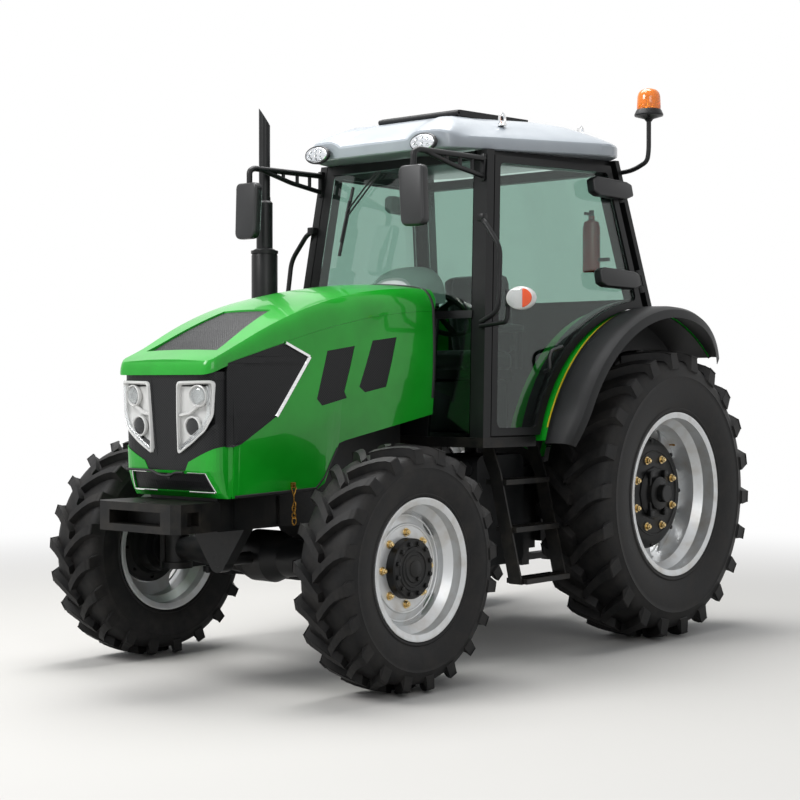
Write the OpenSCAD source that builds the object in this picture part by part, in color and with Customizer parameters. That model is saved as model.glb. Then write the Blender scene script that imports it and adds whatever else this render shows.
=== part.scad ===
// Farm tractor with a closed cab, four-wheel drive and a rear three-point hitch.
// The front is -Y, the driver's left is +X and up is +Z.
// The origin is on the ground, under the middle of the wheelbase.

/* [Chassis] */
// Distance from front axle to rear axle
wheelbase = 2244; // [2160:2:2700]
// Distance between the mid-planes of the front tyres
front_track = 1708; // [1690:2:1800]
// Distance between the mid-planes of the rear tyres
rear_track = 1592; // [1580:2:1700]
// Width of the engine block
engine_w = 440; // [360:5:460]
// Distance of each kingpin from the centre line
kingpin_x = 660; // [640:5:670]

/* [Front wheels] */
// Outer diameter of the front tyres
front_tyre_d = 1146; // [1060:2:1160]
// Section width of the front tyres
front_tyre_w = 315; // [280:1:325]
// Diameter at the bead seat of the front rims
front_rim_d = 610; // [560:1:640]
// Width of the front rims over the flanges
front_rim_w = 279; // [240:1:290]

/* [Rear wheels] */
// Outer diameter of the rear tyres
rear_tyre_d = 1616; // [1480:2:1940]
// Section width of the rear tyres
rear_tyre_w = 429; // [380:1:440]
// Diameter at the bead seat of the rear rims
rear_rim_d = 864; // [780:1:900]
// Width of the rear rims over the flanges
rear_rim_w = 381; // [340:1:400]

/* [Hood] */
// Reach of the hood ahead of the front axle
hood_reach = 700; // [660:5:760]
// Half width of the hood at the nose
nose_half_w = 305; // [280:1:320]
// Half width of the hood at its rear edge
hood_half_w = 415; // [390:1:430]
// Thickness of the hood panels
hood_t = 6; // [4:0.5:10]

/* [Cab] */
// Height of the side windows from the sill to the roof rail
cab_h = 1500; // [1400:10:1600]
// Thickness of the door frames
door_t = 36; // [28:1:44]
// Thickness of the window glass
glass_t = 6; // [4:0.5:8]
// Radius of the steering wheel
steering_r = 205; // [180:5:225]

/* [Hitch] */
// Length of the lower links from the pivot to the ball
link_len = 676; // [600:2:800]
// Distance between the lower links
link_span = 620; // [560:5:700]
// Radius of the hole in the lower link balls
ball_hole_r = 14.3; // [11.2:0.1:18.5]
// Radius of the power take-off shaft
pto_r = 17.5; // [15:0.5:22.5]
// Radius of the drawbar pin hole
drawbar_hole_r = 16.5; // [12:0.5:20]

/* [Hidden] */
$fn = 64;

// Axle centres: the tyres just touch the ground
fa_y = -wheelbase / 2;
fa_z = front_tyre_d / 2;
ra_y = wheelbase / 2;
ra_z = rear_tyre_d / 2;
// Rise of the rear axle above the front axle
axle_rise = ra_z - fa_z;

// Clearances between pieces
run_gap = 0.05;
face_gap = 0.3;
part_gap = 6;

// Paint and material colours
green = "#1f9a26";
black = "#17181a";
iron = "#26282b";
silver = "#c9ccd0";
rubber = "#1d1d1e";
clear = "#9fc4bd";

// Pieces of the front group are placed from the front axle centre
module at_front() translate([0, fa_y, fa_z]) children();
// Pieces of the rear group are placed from the rear axle centre
module at_rear() translate([0, ra_y, ra_z]) children();

module both() {
  children();
  mirror([1, 0, 0]) children();
}

module box(low, high) translate(low) cube(high - low);

// Round bars along each axis, from one coordinate to the other
module bar_x(r, x0, x1, y, z) translate([x0, y, z]) rotate([0, 90, 0]) cylinder(r = r, h = x1 - x0);
module bar_y(r, y0, y1, x, z) translate([x, y1, z]) rotate([90, 0, 0]) cylinder(r = r, h = y1 - y0);
module bar_z(r, z0, z1, x, y) translate([x, y, z0]) cylinder(r = r, h = z1 - z0);

// A bar between any two points
module strut(r, a, b) {
  d = b - a;
  l = norm(d);
  translate(a) rotate([0, acos(d[2] / l), atan2(d[1], d[0])]) cylinder(r = r, h = l);
}

// A bent tube through hand-picked points, with a ball at each bend
bend_swell = 1.5;
module tube(r, points) {
  for (i = [0:len(points) - 2])
    strut(r, points[i], points[i + 1]);
  for (i = [1:len(points) - 2])
    translate(points[i]) sphere(r = r + bend_swell);
}

// Plates from outlines: side_plate takes (y, z), front_plate (x, z) and the outline is extruded
module side_plate(x0, x1) translate([x0, 0, 0]) rotate([90, 0, 90]) linear_extrude(x1 - x0) children();
module front_plate(y0, y1) translate([0, y1, 0]) rotate([90, 0, 0]) linear_extrude(y1 - y0) children();
module plan_plate(z0, z1) translate([0, 0, z0]) linear_extrude(z1 - z0) children();

// A solid of revolution about X, drawn as (radius, distance outboard)
module turned() rotate([0, 90, 0]) rotate_extrude() children();

// Point at t on the cubic curve through a and d, pulled towards b and c
function curve(t, a, b, c, d) =
  pow(1 - t, 3) * a + 3 * t * pow(1 - t, 2) * b + 3 * t * t * (1 - t) * c + pow(t, 3) * d;
function mix(t, a, b) = a + (b - a) * t;

// Closed shell between an outer and an inner grid of points, given row by row
module skin(outer, inner) {
  n = len(outer);
  m = len(outer[0]);
  function at(i, j) = i * m + j;
  function back(i, j) = n * m + i * m + j;
  sheet = [for (i = [0:n - 2], j = [0:m - 2])
    each [[at(i, j), at(i + 1, j), at(i + 1, j + 1)], [at(i, j), at(i + 1, j + 1), at(i, j + 1)]]];
  lining = [for (i = [0:n - 2], j = [0:m - 2])
    each [[back(i, j), back(i + 1, j + 1), back(i + 1, j)],
        [back(i, j), back(i, j + 1), back(i + 1, j + 1)]]];
  row_ends = [for (j = [0:m - 2])
    each [[at(0, j), at(0, j + 1), back(0, j + 1)], [at(0, j), back(0, j + 1), back(0, j)],
      [at(n - 1, j), back(n - 1, j + 1), at(n - 1, j + 1)],
          [at(n - 1, j), back(n - 1, j), back(n - 1, j + 1)]]];
  column_ends = [for (i = [0:n - 2])
    each [[at(i, 0), back(i + 1, 0), at(i + 1, 0)], [at(i, 0), back(i, 0), back(i + 1, 0)],
      [at(i, m - 1), at(i + 1, m - 1), back(i + 1, m - 1)],
          [at(i, m - 1), back(i + 1, m - 1), back(i, m - 1)]]];
  polyhedron([for (row = outer) each row, for (row = inner) each row],
    [for (face = concat(sheet, lining, row_ends, column_ends)) [face[0], face[2], face[1]]]);
}

// Wheels

rim_t = 7;
flange_h = 25;
well_depth = 34;
tyre_t = 24;

// Half of the tyre's outline from the bead to the middle of the tread
function tyre_half(r, w, seat, rim_w) =
  let (h = r - seat)
  [for (k = [0:7])
    curve(k / 7, [seat + flange_h + 2, rim_w / 2 - rim_t], [seat + 0.32 * h, 0.545 * w],
      [seat + 0.62 * h, 0.51 * w], [r - 0.13 * h, 0.47 * w]),
    [r - 0.03 * h, 0.44 * w], [r, 0.36 * w]];

module tyre_section(r, w, seat, rim_w) {
  half = tyre_half(r, w, seat, rim_w);
  n = len(half);
  polygon(concat([[seat, rim_w / 2 - rim_t]], half,
    [for (k = [n - 1:-1:0]) [half[k][0], -half[k][1]]], [[seat, -rim_w / 2 + rim_t]]));
}

module tyre(r, w, seat, rim_w)
  color(rubber) turned() difference() {
    tyre_section(r, w, seat, rim_w);
    offset(delta = -tyre_t) tyre_section(r, w, seat, rim_w);
    translate([seat - 1, -rim_w / 2 + 2 * tyre_t]) square([2 * tyre_t, rim_w - 4 * tyre_t]);
  }

// Drop-centre rim with a flange at each edge
module rim_band(seat, rim_w) {
  e = rim_w / 2;
  s = 0.30 * rim_w;
  d = 0.18 * rim_w;
  well = seat - well_depth;
  turned() polygon([[seat + flange_h, -e], [seat + flange_h, -e + rim_t], [seat, -e + rim_t], [seat, -s],
      [well, -d],
    [well, d], [seat, s], [seat, e - rim_t], [seat + flange_h, e - rim_t], [seat + flange_h, e],
    [seat + flange_h - rim_t, e], [seat - rim_t, e - rim_t], [seat - rim_t, s],
    [well - rim_t, d], [well - rim_t, -d], [seat - rim_t, -s], [seat - rim_t, -e + rim_t],
    [seat + flange_h - rim_t, -e]]);
}

// Front wheel: silver rim with a scalloped disc
front_seat = front_rim_d / 2;
front_disc_out = 40;
front_disc_t = 10;
front_hub_r = 140;
front_bolt_r = 166;
front_bolts = 8;
stud_hole_r = 11;
scallops = 4;
scallop_r = 78;

module front_rim() {
  color(silver) {
    rim_band(front_seat, front_rim_w);
    difference() {
      turned() polygon([[front_hub_r + 1, front_disc_out - front_disc_t],
          [front_bolt_r + 35, front_disc_out - front_disc_t],
        [front_seat - well_depth - rim_t, 12], [front_seat - well_depth - rim_t, 12 + front_disc_t],
        [front_bolt_r + 35, front_disc_out], [front_hub_r + 1, front_disc_out]]);
      for (k = [0:scallops - 1])
        rotate([45 + k * 360 / scallops, 0, 0]) bar_x(scallop_r, -10, 60, 0, front_seat - 5);
      for (k = [0:front_bolts - 1])
        rotate([k * 360 / front_bolts, 0, 0]) bar_x(stud_hole_r, 0, 60, 0, front_bolt_r);
    }
  }
}

// Planetary hub, bored to turn on the knuckle's spindle
spindle_r = 45;
spindle_end = 46;
hub_in = -94;
hub_face = 98;

module front_hub() color(iron) difference() {
  turned() polygon([[0, hub_in + 150], [0, hub_face], [62, hub_face], [66, hub_face - 5],
      [100, hub_face - 5],
    [104, hub_face - 10], [front_hub_r - 8, hub_face - 10], [front_hub_r, hub_face - 18],
    [front_hub_r, front_disc_out - front_disc_t], [front_bolt_r + 28, front_disc_out - front_disc_t],
    [front_bolt_r + 28, 8], [150, -4], [134, -30], [128, hub_in], [spindle_r + run_gap, hub_in],
    [spindle_r + run_gap, hub_in + 150]]);
  for (k = [0:front_bolts - 1])
    rotate([k * 360 / front_bolts, 0, 0]) bar_x(stud_hole_r, 0, 60, 0, front_bolt_r);
}

// Rear wheel: silver rim with welded lugs, dark disc on a bar axle
rear_seat = rear_rim_d / 2;
rear_disc_r = 316;
rear_disc_out = -10;
rear_disc_t = 14;
rear_bolt_r = 200;
rear_bolts = 8;
bar_r = 45;
bar_out = 62;
bar_in = 470;
rear_lugs = 8;

module rear_rim() color(silver) {
  rim_band(rear_seat, rear_rim_w);
  difference() {
    turned() polygon([[rear_disc_r - 46, rear_disc_out - rear_disc_t],
        [rear_disc_r - 46, rear_disc_out - 2 * rear_disc_t],
      [rear_disc_r + 20, rear_disc_out - 2 * rear_disc_t], [rear_seat - well_depth - rim_t, -48],
      [rear_seat - well_depth - rim_t, -34], [rear_disc_r + 20, rear_disc_out - rear_disc_t]]);
    for (k = [0:rear_lugs - 1])
      rotate([(k + 0.5) * 360 / rear_lugs, 0, 0]) bar_x(60, -70, 0, 0, rear_disc_r + 20);
  }
}

module rear_hub() color(iron) {
  difference() {
    turned() polygon([[0, bar_out], [bar_r - 4, bar_out], [bar_r, bar_out - 4], [bar_r, bar_out - 22],
        [66, bar_out - 24],
      [84, bar_out - 40], [92, rear_disc_out + 12], [150, rear_disc_out + 6], [165, rear_disc_out],
      [rear_disc_r, rear_disc_out], [rear_disc_r, rear_disc_out - rear_disc_t],
          [120, rear_disc_out - rear_disc_t],
      [90, rear_disc_out - 70], [bar_r, rear_disc_out - 75], [bar_r, -bar_in], [0, -bar_in]]);
    for (k = [0:rear_bolts - 1])
      rotate([(k + 0.5) * 360 / rear_bolts, 0, 0]) bar_x(stud_hole_r, -40, 20, 0, rear_bolt_r);
  }
  axle_clamp();
}

// Split clamp that grips the bar axle, with a bolt lug on each side
module axle_clamp()
  for (s = [-1, 1])
    difference() {
      box([rear_disc_out + 8, s * 62 - 22, -58], [bar_out - 26, s * 62 + 22, 58]);
      bar_x(bar_r - 4, -100, 100, 0, 0);
    }

module wheel_at(left, track, y, z)
  translate([left ? track / 2 : -track / 2, y, z]) mirror([left ? 0 : 1, 0, 0]) children();
module front_wheel_at(left) wheel_at(left, front_track, fa_y, fa_z) children();
module rear_wheel_at(left) wheel_at(left, rear_track, ra_y, ra_z) children();

module front_tyre(left) front_wheel_at(left) tyre(fa_z, front_tyre_w, front_seat, front_rim_w);
module rear_tyre(left) rear_wheel_at(left) tyre(ra_z, rear_tyre_w, rear_seat, rear_rim_w);

// Front axle and steering, from the front axle centre

barrel_r = 62;
barrel_h = 150;
king_r = 22;
trunnion_r = 30;
trunnion_y = [-345, 300];
steer_arm = 220;
steer_z = -131;
rod_pin_r = 12;
rod_eye_r = 28;
knuckle_t = 32;

// The beam is turned in one piece: a barrel for the differential, tapering to both kingpins
module front_axle(arm = kingpin_x - barrel_r + 12) color(iron) at_front() difference() {
  union() {
    rotate([0, 90, 0]) rotate_extrude() polygon([[0, -arm], [58, -arm], [96, -150], [128, -64], [128, 64],
      [96, 150], [58, arm], [0, arm]]);
    bar_y(62, 0, trunnion_y[1] - 62, 0, 0);
    bar_y(trunnion_r, trunnion_y[0], trunnion_y[1], 0, 0);
    both() bar_z(barrel_r, -barrel_h / 2, barrel_h / 2, kingpin_x, 0);
  }
  both() bar_z(king_r + run_gap, -barrel_h, barrel_h, kingpin_x, 0);
}

// Swivel housing: two ears hold the kingpin, a curved wall carries the wheel spindle and the steering arm
module knuckle() {
  ear = barrel_h / 2 + face_gap;
  wall_r = barrel_r + 4;
  wall_out = front_track / 2 + hub_in - 10 - kingpin_x;
  translate([kingpin_x, 0, 0]) {
    for (s = [0, 1])
      mirror([0, 0, s]) bar_z(wall_r + 14, ear, ear + knuckle_t, 0, 0);
    bar_z(king_r, -ear - 1, ear + 1, 0, 0);
    translate([0, 0, -ear - knuckle_t]) rotate_extrude(angle = 120, start = -60)
      translate([wall_r, 0]) square([wall_out - wall_r, 2 * (ear + knuckle_t)]);
    bar_x(92, wall_r + 4, wall_out, 0, 0);
    bar_x(spindle_r, wall_r + 6, front_track / 2 + spindle_end - kingpin_x, 0, 0);
    plan_plate(-ear - knuckle_t, -ear) hull() {
      translate([0, 40]) square([70, 10], center = true);
      translate([0, steer_arm]) circle(r = rod_eye_r);
    }
    bar_z(rod_pin_r, steer_z - 22, -ear - 1, 0, steer_arm);
  }
}

module left_knuckle() color(iron) at_front() knuckle();
module right_knuckle() color(iron) at_front() mirror([1, 0, 0]) knuckle();

// The left eye runs on its pin; the right eye has more room
rod_eye_h = 30;
rod_free = 0.4;
module tie_rod() color(iron) at_front() difference() {
  union() {
    for (s = [-1, 1])
      bar_z(rod_eye_r, steer_z - rod_eye_h / 2, steer_z + rod_eye_h / 2 - 1, s * kingpin_x, steer_arm);
    bar_x(12, -kingpin_x + rod_eye_r - 6, kingpin_x - rod_eye_r + 6, steer_arm, steer_z);
    for (s = [-1, 1])
      translate([s * (kingpin_x - 160), steer_arm, steer_z]) rotate([0, 90, 0])
        cylinder(r = 17, h = 90, center = true);
  }
  bar_z(rod_pin_r + run_gap, steer_z - 60, steer_z + 60, kingpin_x, steer_arm);
  bar_z(rod_pin_r + rod_free, steer_z - 60, steer_z + 60, -kingpin_x, steer_arm);
}

// Front castings and engine, from the front axle centre

support_w = 460;
support_z = [165, 325];
support_y = [-560, 300];
carrier_w = 552;
carrier_z = [172, 307];
carrier_front = hood_reach + 163;
tow_hole_r = 16;
tow_hole_y = -carrier_front + 48;

// The two brackets hold the trunnions that the axle hangs from
module front_support() color(iron) at_front() difference() {
  union() {
    difference() {
      box([-support_w / 2, support_y[0], support_z[0]], [support_w / 2, support_y[1], support_z[1]]);
      box([-support_w / 2 + 40, support_y[0] + 60, support_z[0] - 1],
        [support_w / 2 - 40, support_y[1] - 60, support_z[1] - 36]);
    }
    for (y = [trunnion_y[0], trunnion_y[1] - 60])
      front_plate(y, y + 60) trunnion_bracket();
    both() for (y = [-460, -160, 140])
      box([support_w / 2 - 2, y, support_z[0] + 12], [support_w / 2 + 10, y + 26, support_z[1] - 12]);
  }
  bar_y(trunnion_r + face_gap, trunnion_y[0] - 5, trunnion_y[1] + 5, 0, 0);
}

module trunnion_bracket() {
  polygon([[-190, support_z[1] - 20], [-190, support_z[0]], [-62, -14], [62, -14], [190, support_z[0]],
    [190, support_z[1] - 20]]);
  circle(r = 58);
}

// Front carrier with a slot for a tow bar, pinned from above
module weight_carrier() color(black) at_front() difference() {
  plan_plate(carrier_z[0], carrier_z[1])
    polygon([[-carrier_w / 2 + 26, support_y[0]], [-carrier_w / 2, -700],
        [-carrier_w / 2, -carrier_front + 34],
      [-carrier_w / 2 + 34, -carrier_front], [carrier_w / 2 - 34, -carrier_front],
      [carrier_w / 2, -carrier_front + 34], [carrier_w / 2, -700], [carrier_w / 2 - 26, support_y[0]]]);
  box([-175, -carrier_front - 1, carrier_z[0] + 34], [175, -carrier_front + 110, carrier_z[1] - 38]);
  both() box([carrier_w / 2 - 50, -790, carrier_z[0] + 34], [carrier_w / 2 + 1, -720, carrier_z[1] - 38]);
  bar_z(tow_hole_r, carrier_z[0] - 1, carrier_z[1] + 1, 0, tow_hole_y);
}

// Rear face of the engine, measured from the rear axle
gear_front = -1484;
engine_rear = wheelbase + gear_front;
engine_z = [62, 880];

module engine_block() color(iron) at_front() {
  w = engine_w / 2;
  difference() {
    union() {
      box([-w, support_y[1], engine_z[0] + 90], [w, engine_rear, engine_z[1] - 220]);
      box([-w, -260, support_z[1]], [w, support_y[1], engine_z[1] - 220]);
      box([-w + 50, support_y[1], engine_z[0]], [w - 50, engine_rear - 40, engine_z[0] + 91]);
      box([-w + 70, -200, engine_z[1] - 221], [w - 70, engine_rear - 60, engine_z[1]]);
    }
    for (y = [support_y[1] + 60:110:engine_rear - 90])
      both() box([w - 14, y, engine_z[0] + 130], [w + 1, y + 70, engine_z[0] + 300]);
  }
}

// Gearbox, rear axle and hitch supports, from the rear axle centre

gear_w = 380;
gear_z = [-330, 150];
gear_rear = -240;
bell_t = 44;
axle_w = 460;
axle_z = [-290, 250];
axle_rear = 250;
trumpet_end = rear_track / 2 - 256;
mount_x = 300;
mount_y = -1300;
rear_mount = [trumpet_end - 110, -40];
pad_z = 130;
floor_z = [290, 342];
post_x = 150;
hinge_pin_r = 9;
hood_hinge = [-1452, 1092];

module gearbox_housing() color(iron) at_rear() {
  box([-gear_w / 2, gear_front, gear_z[0]], [gear_w / 2, gear_rear, gear_z[1]]);
  box([-gear_w / 2 - 25, gear_front, gear_z[0] - 15],
      [gear_w / 2 + 25, gear_front + bell_t, gear_z[1] + 50]);
  for (y = [gear_front + 330, gear_front + 760])
    box([-gear_w / 2 - 12, y, gear_z[0] - 12], [gear_w / 2 + 12, y + 36, gear_z[1] + 12]);
  box([-mount_x - 45, mount_y - 30, 90], [mount_x + 45, mount_y + 30, 160]);
  // Guard round the shaft that drives the front axle
  bar_y(38, gear_front + trunnion_y[1] - engine_rear + 2, gear_front + 1, 0, -axle_rise);
}

link_pivot = [150, -300];
link_pin_r = 14;
rock_z = 300;
rock_r = 32;
arm_x = [link_span / 2 - 10, link_span / 2 + 20];
lift_len = 330;
lift_pin_r = 12;
top_link_r = 12.75;
top_link_at = [302, 110];
drawbar_w = 76;
drawbar_z = [-425, -390];
drawbar_hole_y = 520;

module rear_axle_housing() color(iron) at_rear() difference() {
  union() {
    box([-axle_w / 2, gear_rear, axle_z[0]], [axle_w / 2, axle_rear, axle_z[1]]);
    both() {
      rotate([0, 90, 0]) cylinder(r1 = 165, r2 = 104, h = trumpet_end - 120);
      bar_x(104, trumpet_end - 160, trumpet_end, 0, 0);
      bar_x(136, trumpet_end - 40, trumpet_end - 8, 0, 0);
      // Pad for the rear cab mount
      box([rear_mount[0] - 48, rear_mount[1] - 48, 40], [rear_mount[0] + 48, rear_mount[1] + 48, pad_z]);
      // Lower link bracket and its pin
      box([axle_w / 2 - 40, link_pivot[0] - 60, link_pivot[1] - 50],
        [link_span / 2 - 32, link_pivot[0] + 60, link_pivot[1] + 90]);
      bar_x(link_pin_r, link_span / 2 - 40, link_span / 2 + 34, link_pivot[0], link_pivot[1]);
      // Cheek of the top link bracket
      box([24, axle_rear - 1, top_link_at[1] - 45], [46, top_link_at[0] + 34, top_link_at[1] + 45]);
      // Cheek of the drawbar hanger
      box([drawbar_w / 2 + 1, 180, drawbar_z[0] - 22], [drawbar_w / 2 + 24, axle_rear, axle_z[0] + 1]);
      box([drawbar_w / 2 + 1, -190, drawbar_z[0] - 22], [drawbar_w / 2 + 24, -120, axle_z[0] + 1]);
    }
    box([-drawbar_w / 2 - 2, 180, drawbar_z[0] - 22], [drawbar_w / 2 + 2, axle_rear, drawbar_z[0]]);
    box([-drawbar_w / 2 - 2, -190, drawbar_z[0] - 22], [drawbar_w / 2 + 2, -120, drawbar_z[0]]);
    // Rock shaft housing
    box([-arm_x[0] + 6, link_pivot[0] - 90, axle_z[1] - 1], [arm_x[0] - 6, link_pivot[0] + 80, rock_z + 72]);
    // Shield over the power take-off
    box([-120, axle_rear - 1, -112], [120, axle_rear + 95, -104]);
    both() box([112, axle_rear - 1, -190], [120, axle_rear + 95, -104]);
  }
  both() bar_x(bar_r + run_gap, rear_track / 2 - bar_in - 10, trumpet_end + 5, 0, 0);
  bar_x(rock_r + run_gap, -arm_x[0], arm_x[0], link_pivot[0], rock_z);
  bar_x(top_link_r, -60, 60, top_link_at[0], top_link_at[1]);
}

module drawbar() color(black) at_rear() difference() {
  box([-drawbar_w / 2, -200, drawbar_z[0]], [drawbar_w / 2, drawbar_hole_y + 42, drawbar_z[1]]);
  bar_z(drawbar_hole_r, drawbar_z[0] - 1, drawbar_z[1] + 1, 0, drawbar_hole_y);
}

pto_z = -170;
pto_len = 92;
module pto_shaft() color(silver) at_rear() {
  bar_y(pto_r, axle_rear, axle_rear + pto_len, 0, pto_z);
  bar_y(34, axle_rear, axle_rear + 12, 0, pto_z);
}

// Three-point hitch, from the rear axle centre

link_slope = 4;
link_t = 40;
ball_r = 38;
link_x = link_span / 2;
lift_pin_x = arm_x[1] + 40;
lift_eye_x = [arm_x[1] + 3, arm_x[1] + 33];

// A link of round-ended plate from one point to another in the side view
module plate_link(a, b, ra, rb) hull() {
  translate(a) circle(r = ra);
  translate(b) circle(r = rb);
}

function along_link(d) = link_pivot + d * [cos(link_slope), -sin(link_slope)];
link_tip = along_link(link_len);
link_hang = along_link(lift_len);
arm_tip = [link_hang[0], rock_z + link_hang[1] - link_pivot[1]];

module lower_links() color(black) at_rear() both() difference() {
  union() {
    side_plate(link_x - link_t / 2 + 6, link_x + link_t / 2 - 6) plate_link(link_pivot, link_tip, 34, 30);
    side_plate(link_x - link_t / 2, link_x + link_t / 2) {
      translate(link_pivot) circle(r = 36);
      translate(link_tip) circle(r = ball_r);
      translate(link_hang) circle(r = 36);
    }
    bar_x(lift_pin_r, link_x, lift_pin_x, link_hang[0], link_hang[1]);
  }
  bar_x(link_pin_r + run_gap, 0, link_x + 100, link_pivot[0], link_pivot[1]);
  bar_x(ball_hole_r, 0, link_x + 100, link_tip[0], link_tip[1]);
}

module lift_arms() color(black) at_rear() {
  bar_x(rock_r, -arm_x[1], arm_x[1], link_pivot[0], rock_z);
  both() {
    side_plate(arm_x[0], arm_x[1]) plate_link([link_pivot[0], rock_z], arm_tip, 52, 26);
    bar_x(lift_pin_r, arm_x[0], lift_pin_x, arm_tip[0], arm_tip[1]);
  }
}

module lift_rods() color(black) at_rear() both() difference() {
  union() {
    side_plate(lift_eye_x[0], lift_eye_x[1]) {
      translate(arm_tip) circle(r = 28);
      translate(link_hang) circle(r = 28);
    }
    bar_z(12, link_hang[1] + 20, arm_tip[1] - 20, (lift_eye_x[0] + lift_eye_x[1]) / 2, link_hang[0]);
    bar_z(19, link_hang[1] + 130, arm_tip[1] - 220, (lift_eye_x[0] + lift_eye_x[1]) / 2, link_hang[0]);
  }
  bar_x(lift_pin_r + run_gap, 0, 600, arm_tip[0], arm_tip[1]);
  bar_x(lift_pin_r + rod_free, 0, 600, link_hang[0], link_hang[1]);
}

// Hood, from the front axle centre

hood_rear = wheelbase - 1443;
crown_back = 60;
groove_z = [891, 1222];
crown_z = [925, 1372];
groove_bend = 1.75;
crown_bend = 2.2;
width_bend = 1.8;
side_front = -556;
seam = 0.8;
screen_seam = 0.3;
screen_recess = 7;

function rise(s, bend) = 1 - pow(1 - s, bend);
function hood_s(y) = (y + hood_reach) / (hood_rear + hood_reach);
function hood_w(s) = mix(rise(s, width_bend), nose_half_w, hood_half_w);
function groove(s) = mix(rise(s, groove_bend), groove_z[0], groove_z[1]);
function crown(s) = mix(rise(s, crown_bend), crown_z[0], crown_z[1]);
// Sine and cosine with squared shoulders
function sq(v, e) = sign(v) * pow(abs(v), e);

// Top panel: an arch from groove to groove at each station, set in by d
top_rows = 14;
top_cols = 16;
shoulder = 0.66;
function top_point(s, a, d) =
  let (k = sq(sin(a), shoulder), c = sq(cos(a), shoulder))
  [(hood_w(s) - d) * c, mix(s, -hood_reach, hood_rear) + k * s * crown_back,
      mix(k, groove(s), crown(s) - d)];
module top_skin(d, t)
  skin([for (i = [0:top_rows]) [for (j = [0:top_cols]) top_point(i / top_rows, 180 * j / top_cols, d)]],
    [for (i = [0:top_rows]) [for (j = [0:top_cols]) top_point(i / top_rows, 180 * j / top_cols, d + t)]]);

// Side panel: from the groove down to a lower edge that arches over the front wheel
arch_y = [-5, 138];
low_z = [323, 345, 569, 694];
low_nose_w = 318;
low_rear_w = 402;
side_bulge = 12;
side_rows = 28;
side_cols = 5;
function ease(s) = s * s * (3 - 2 * s);
function low_edge(y) =
  y < arch_y[0] ? mix((y - side_front) / (arch_y[0] - side_front), low_z[0], low_z[1])
  : y < arch_y[1] ? mix(ease((y - arch_y[0]) / (arch_y[1] - arch_y[0])), low_z[1], low_z[2])
  : mix((y - arch_y[1]) / (hood_rear - arch_y[1]), low_z[2], low_z[3]);
function low_w(s) = mix(rise(s, 1.15), low_nose_w, low_rear_w);
function side_point(y, u, d) =
  let (s = hood_s(y))
  [mix(u, hood_w(s), low_w(s)) + side_bulge * sin(180 * u) - d, y, mix(u, groove(s) - seam, low_edge(y))];
function side_y(i) = mix(i / side_rows, side_front, hood_rear);
module side_skin(d, t)
  skin([for (i = [0:side_rows]) [for (j = [side_cols:-1:0]) side_point(side_y(i), j / side_cols, d)]],
    [for (i = [0:side_rows]) [for (j = [side_cols:-1:0]) side_point(side_y(i), j / side_cols, d + t)]]);

// Nose: a boxy ring at each height that leans forward to the top
nose_z = [323, 348, 400, 449, 570, 700, 820, 905];
nose_cols = 20;
nose_box = 0.42;
function nose_y(z) = z < 449 ? mix(pow((z - 323) / 126, 0.6), 590, 667) : mix((z - 449) / 456, 667, 690);
function nose_w(z) = mix(rise((z - 323) / 582, 1.4), low_nose_w, nose_half_w + 14);
function nose_point(z, a, d) =
  let (back = -side_front + seam, front = nose_y(z) + hood_reach - 700 - d)
  [(nose_w(z) - d) * sq(cos(a), nose_box), -back - (front - back) * sq(sin(a), nose_box), z];
module nose_skin(d, t)
  skin([for (z = nose_z) [for (j = [0:nose_cols]) nose_point(z, 180 * j / nose_cols, d)]],
    [for (z = nose_z) [for (j = [0:nose_cols]) nose_point(z, 180 * j / nose_cols, d + t)]]);

// Outlines of the openings: top screen in plan, side openings in (y, z), front openings in (x, z)
top_screen = [[-243, -577], [243, -577], [162, -139], [-162, -139]];
side_screen = [[side_front - 10, 560], [-517, 572], [-306, 696], [-94, 978], [-249, 1028],
    [side_front - 10, 926]];
vent_1 = [[22, 1009], [206, 1036], [138, 811], [157, 781], [-13, 745], [-48, 777]];
vent_2 = [[330, 1064], [504, 1084], [433, 835], [282, 808], [240, 835]];
grille = [[-127, 449], [127, 449], [150, 490], [340, 572], [340, 950], [-340, 950], [-340, 572],
    [-150, 490]];
lamp = [[64, 520], [85, 867], [340, 867], [340, 690], [290, 630]];
nose_slot = [[-270, 354], [270, 354], [245, 436], [-245, 436]];

module side_cut(points, grow) side_plate(200, 500) offset(delta = grow) polygon(points);
module front_cut(points, grow) front_plate(-900, -500) offset(delta = grow) polygon(points);
module side_openings(grow)
  for (outline = [side_screen, vent_1, vent_2])
    side_cut(outline, grow);

hood_lug = [post_x + 25, post_x + 41];
hood_axis = [hood_hinge[0] + wheelbase, hood_hinge[1] + axle_rise];
lug_top = 1361.5;

module hood_top() color(green) at_front() {
  difference() {
    top_skin(0, hood_t);
    plan_plate(900, 1500) polygon(top_screen);
  }
  both() difference() {
    box([hood_lug[0], hood_axis[0] - 24, hood_axis[1] - 22], [hood_lug[1], hood_axis[0] + 24, lug_top]);
    bar_x(hinge_pin_r + run_gap, 0, 300, hood_axis[0], hood_axis[1]);
  }
}

module hood_sides() color(green) at_front() both() difference() {
  side_skin(0, hood_t);
  side_openings(0);
}

module hood_screens() color(black) at_front() {
  intersection() {
    top_skin(1, hood_t - 1);
    plan_plate(900, 1500) offset(delta = -screen_seam) polygon(top_screen);
  }
  both() intersection() {
    side_skin(screen_recess - hood_t, hood_t);
    side_openings(-screen_seam);
  }
  difference() {
    intersection() {
      nose_skin(3, hood_t);
      front_cut(grille, 0);
    }
    both() front_cut(lamp, screen_seam);
  }
  intersection() {
    nose_skin(screen_recess, hood_t);
    front_cut(nose_slot, -screen_seam);
  }
}

module headlamps() color(silver) at_front() both() intersection() {
  nose_skin(-3, 26);
  front_cut(lamp, 0);
}

module nose_panel() color(green) at_front() difference() {
  nose_skin(0, hood_t);
  front_cut(grille, screen_seam);
  front_cut(nose_slot, 0);
}

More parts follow.
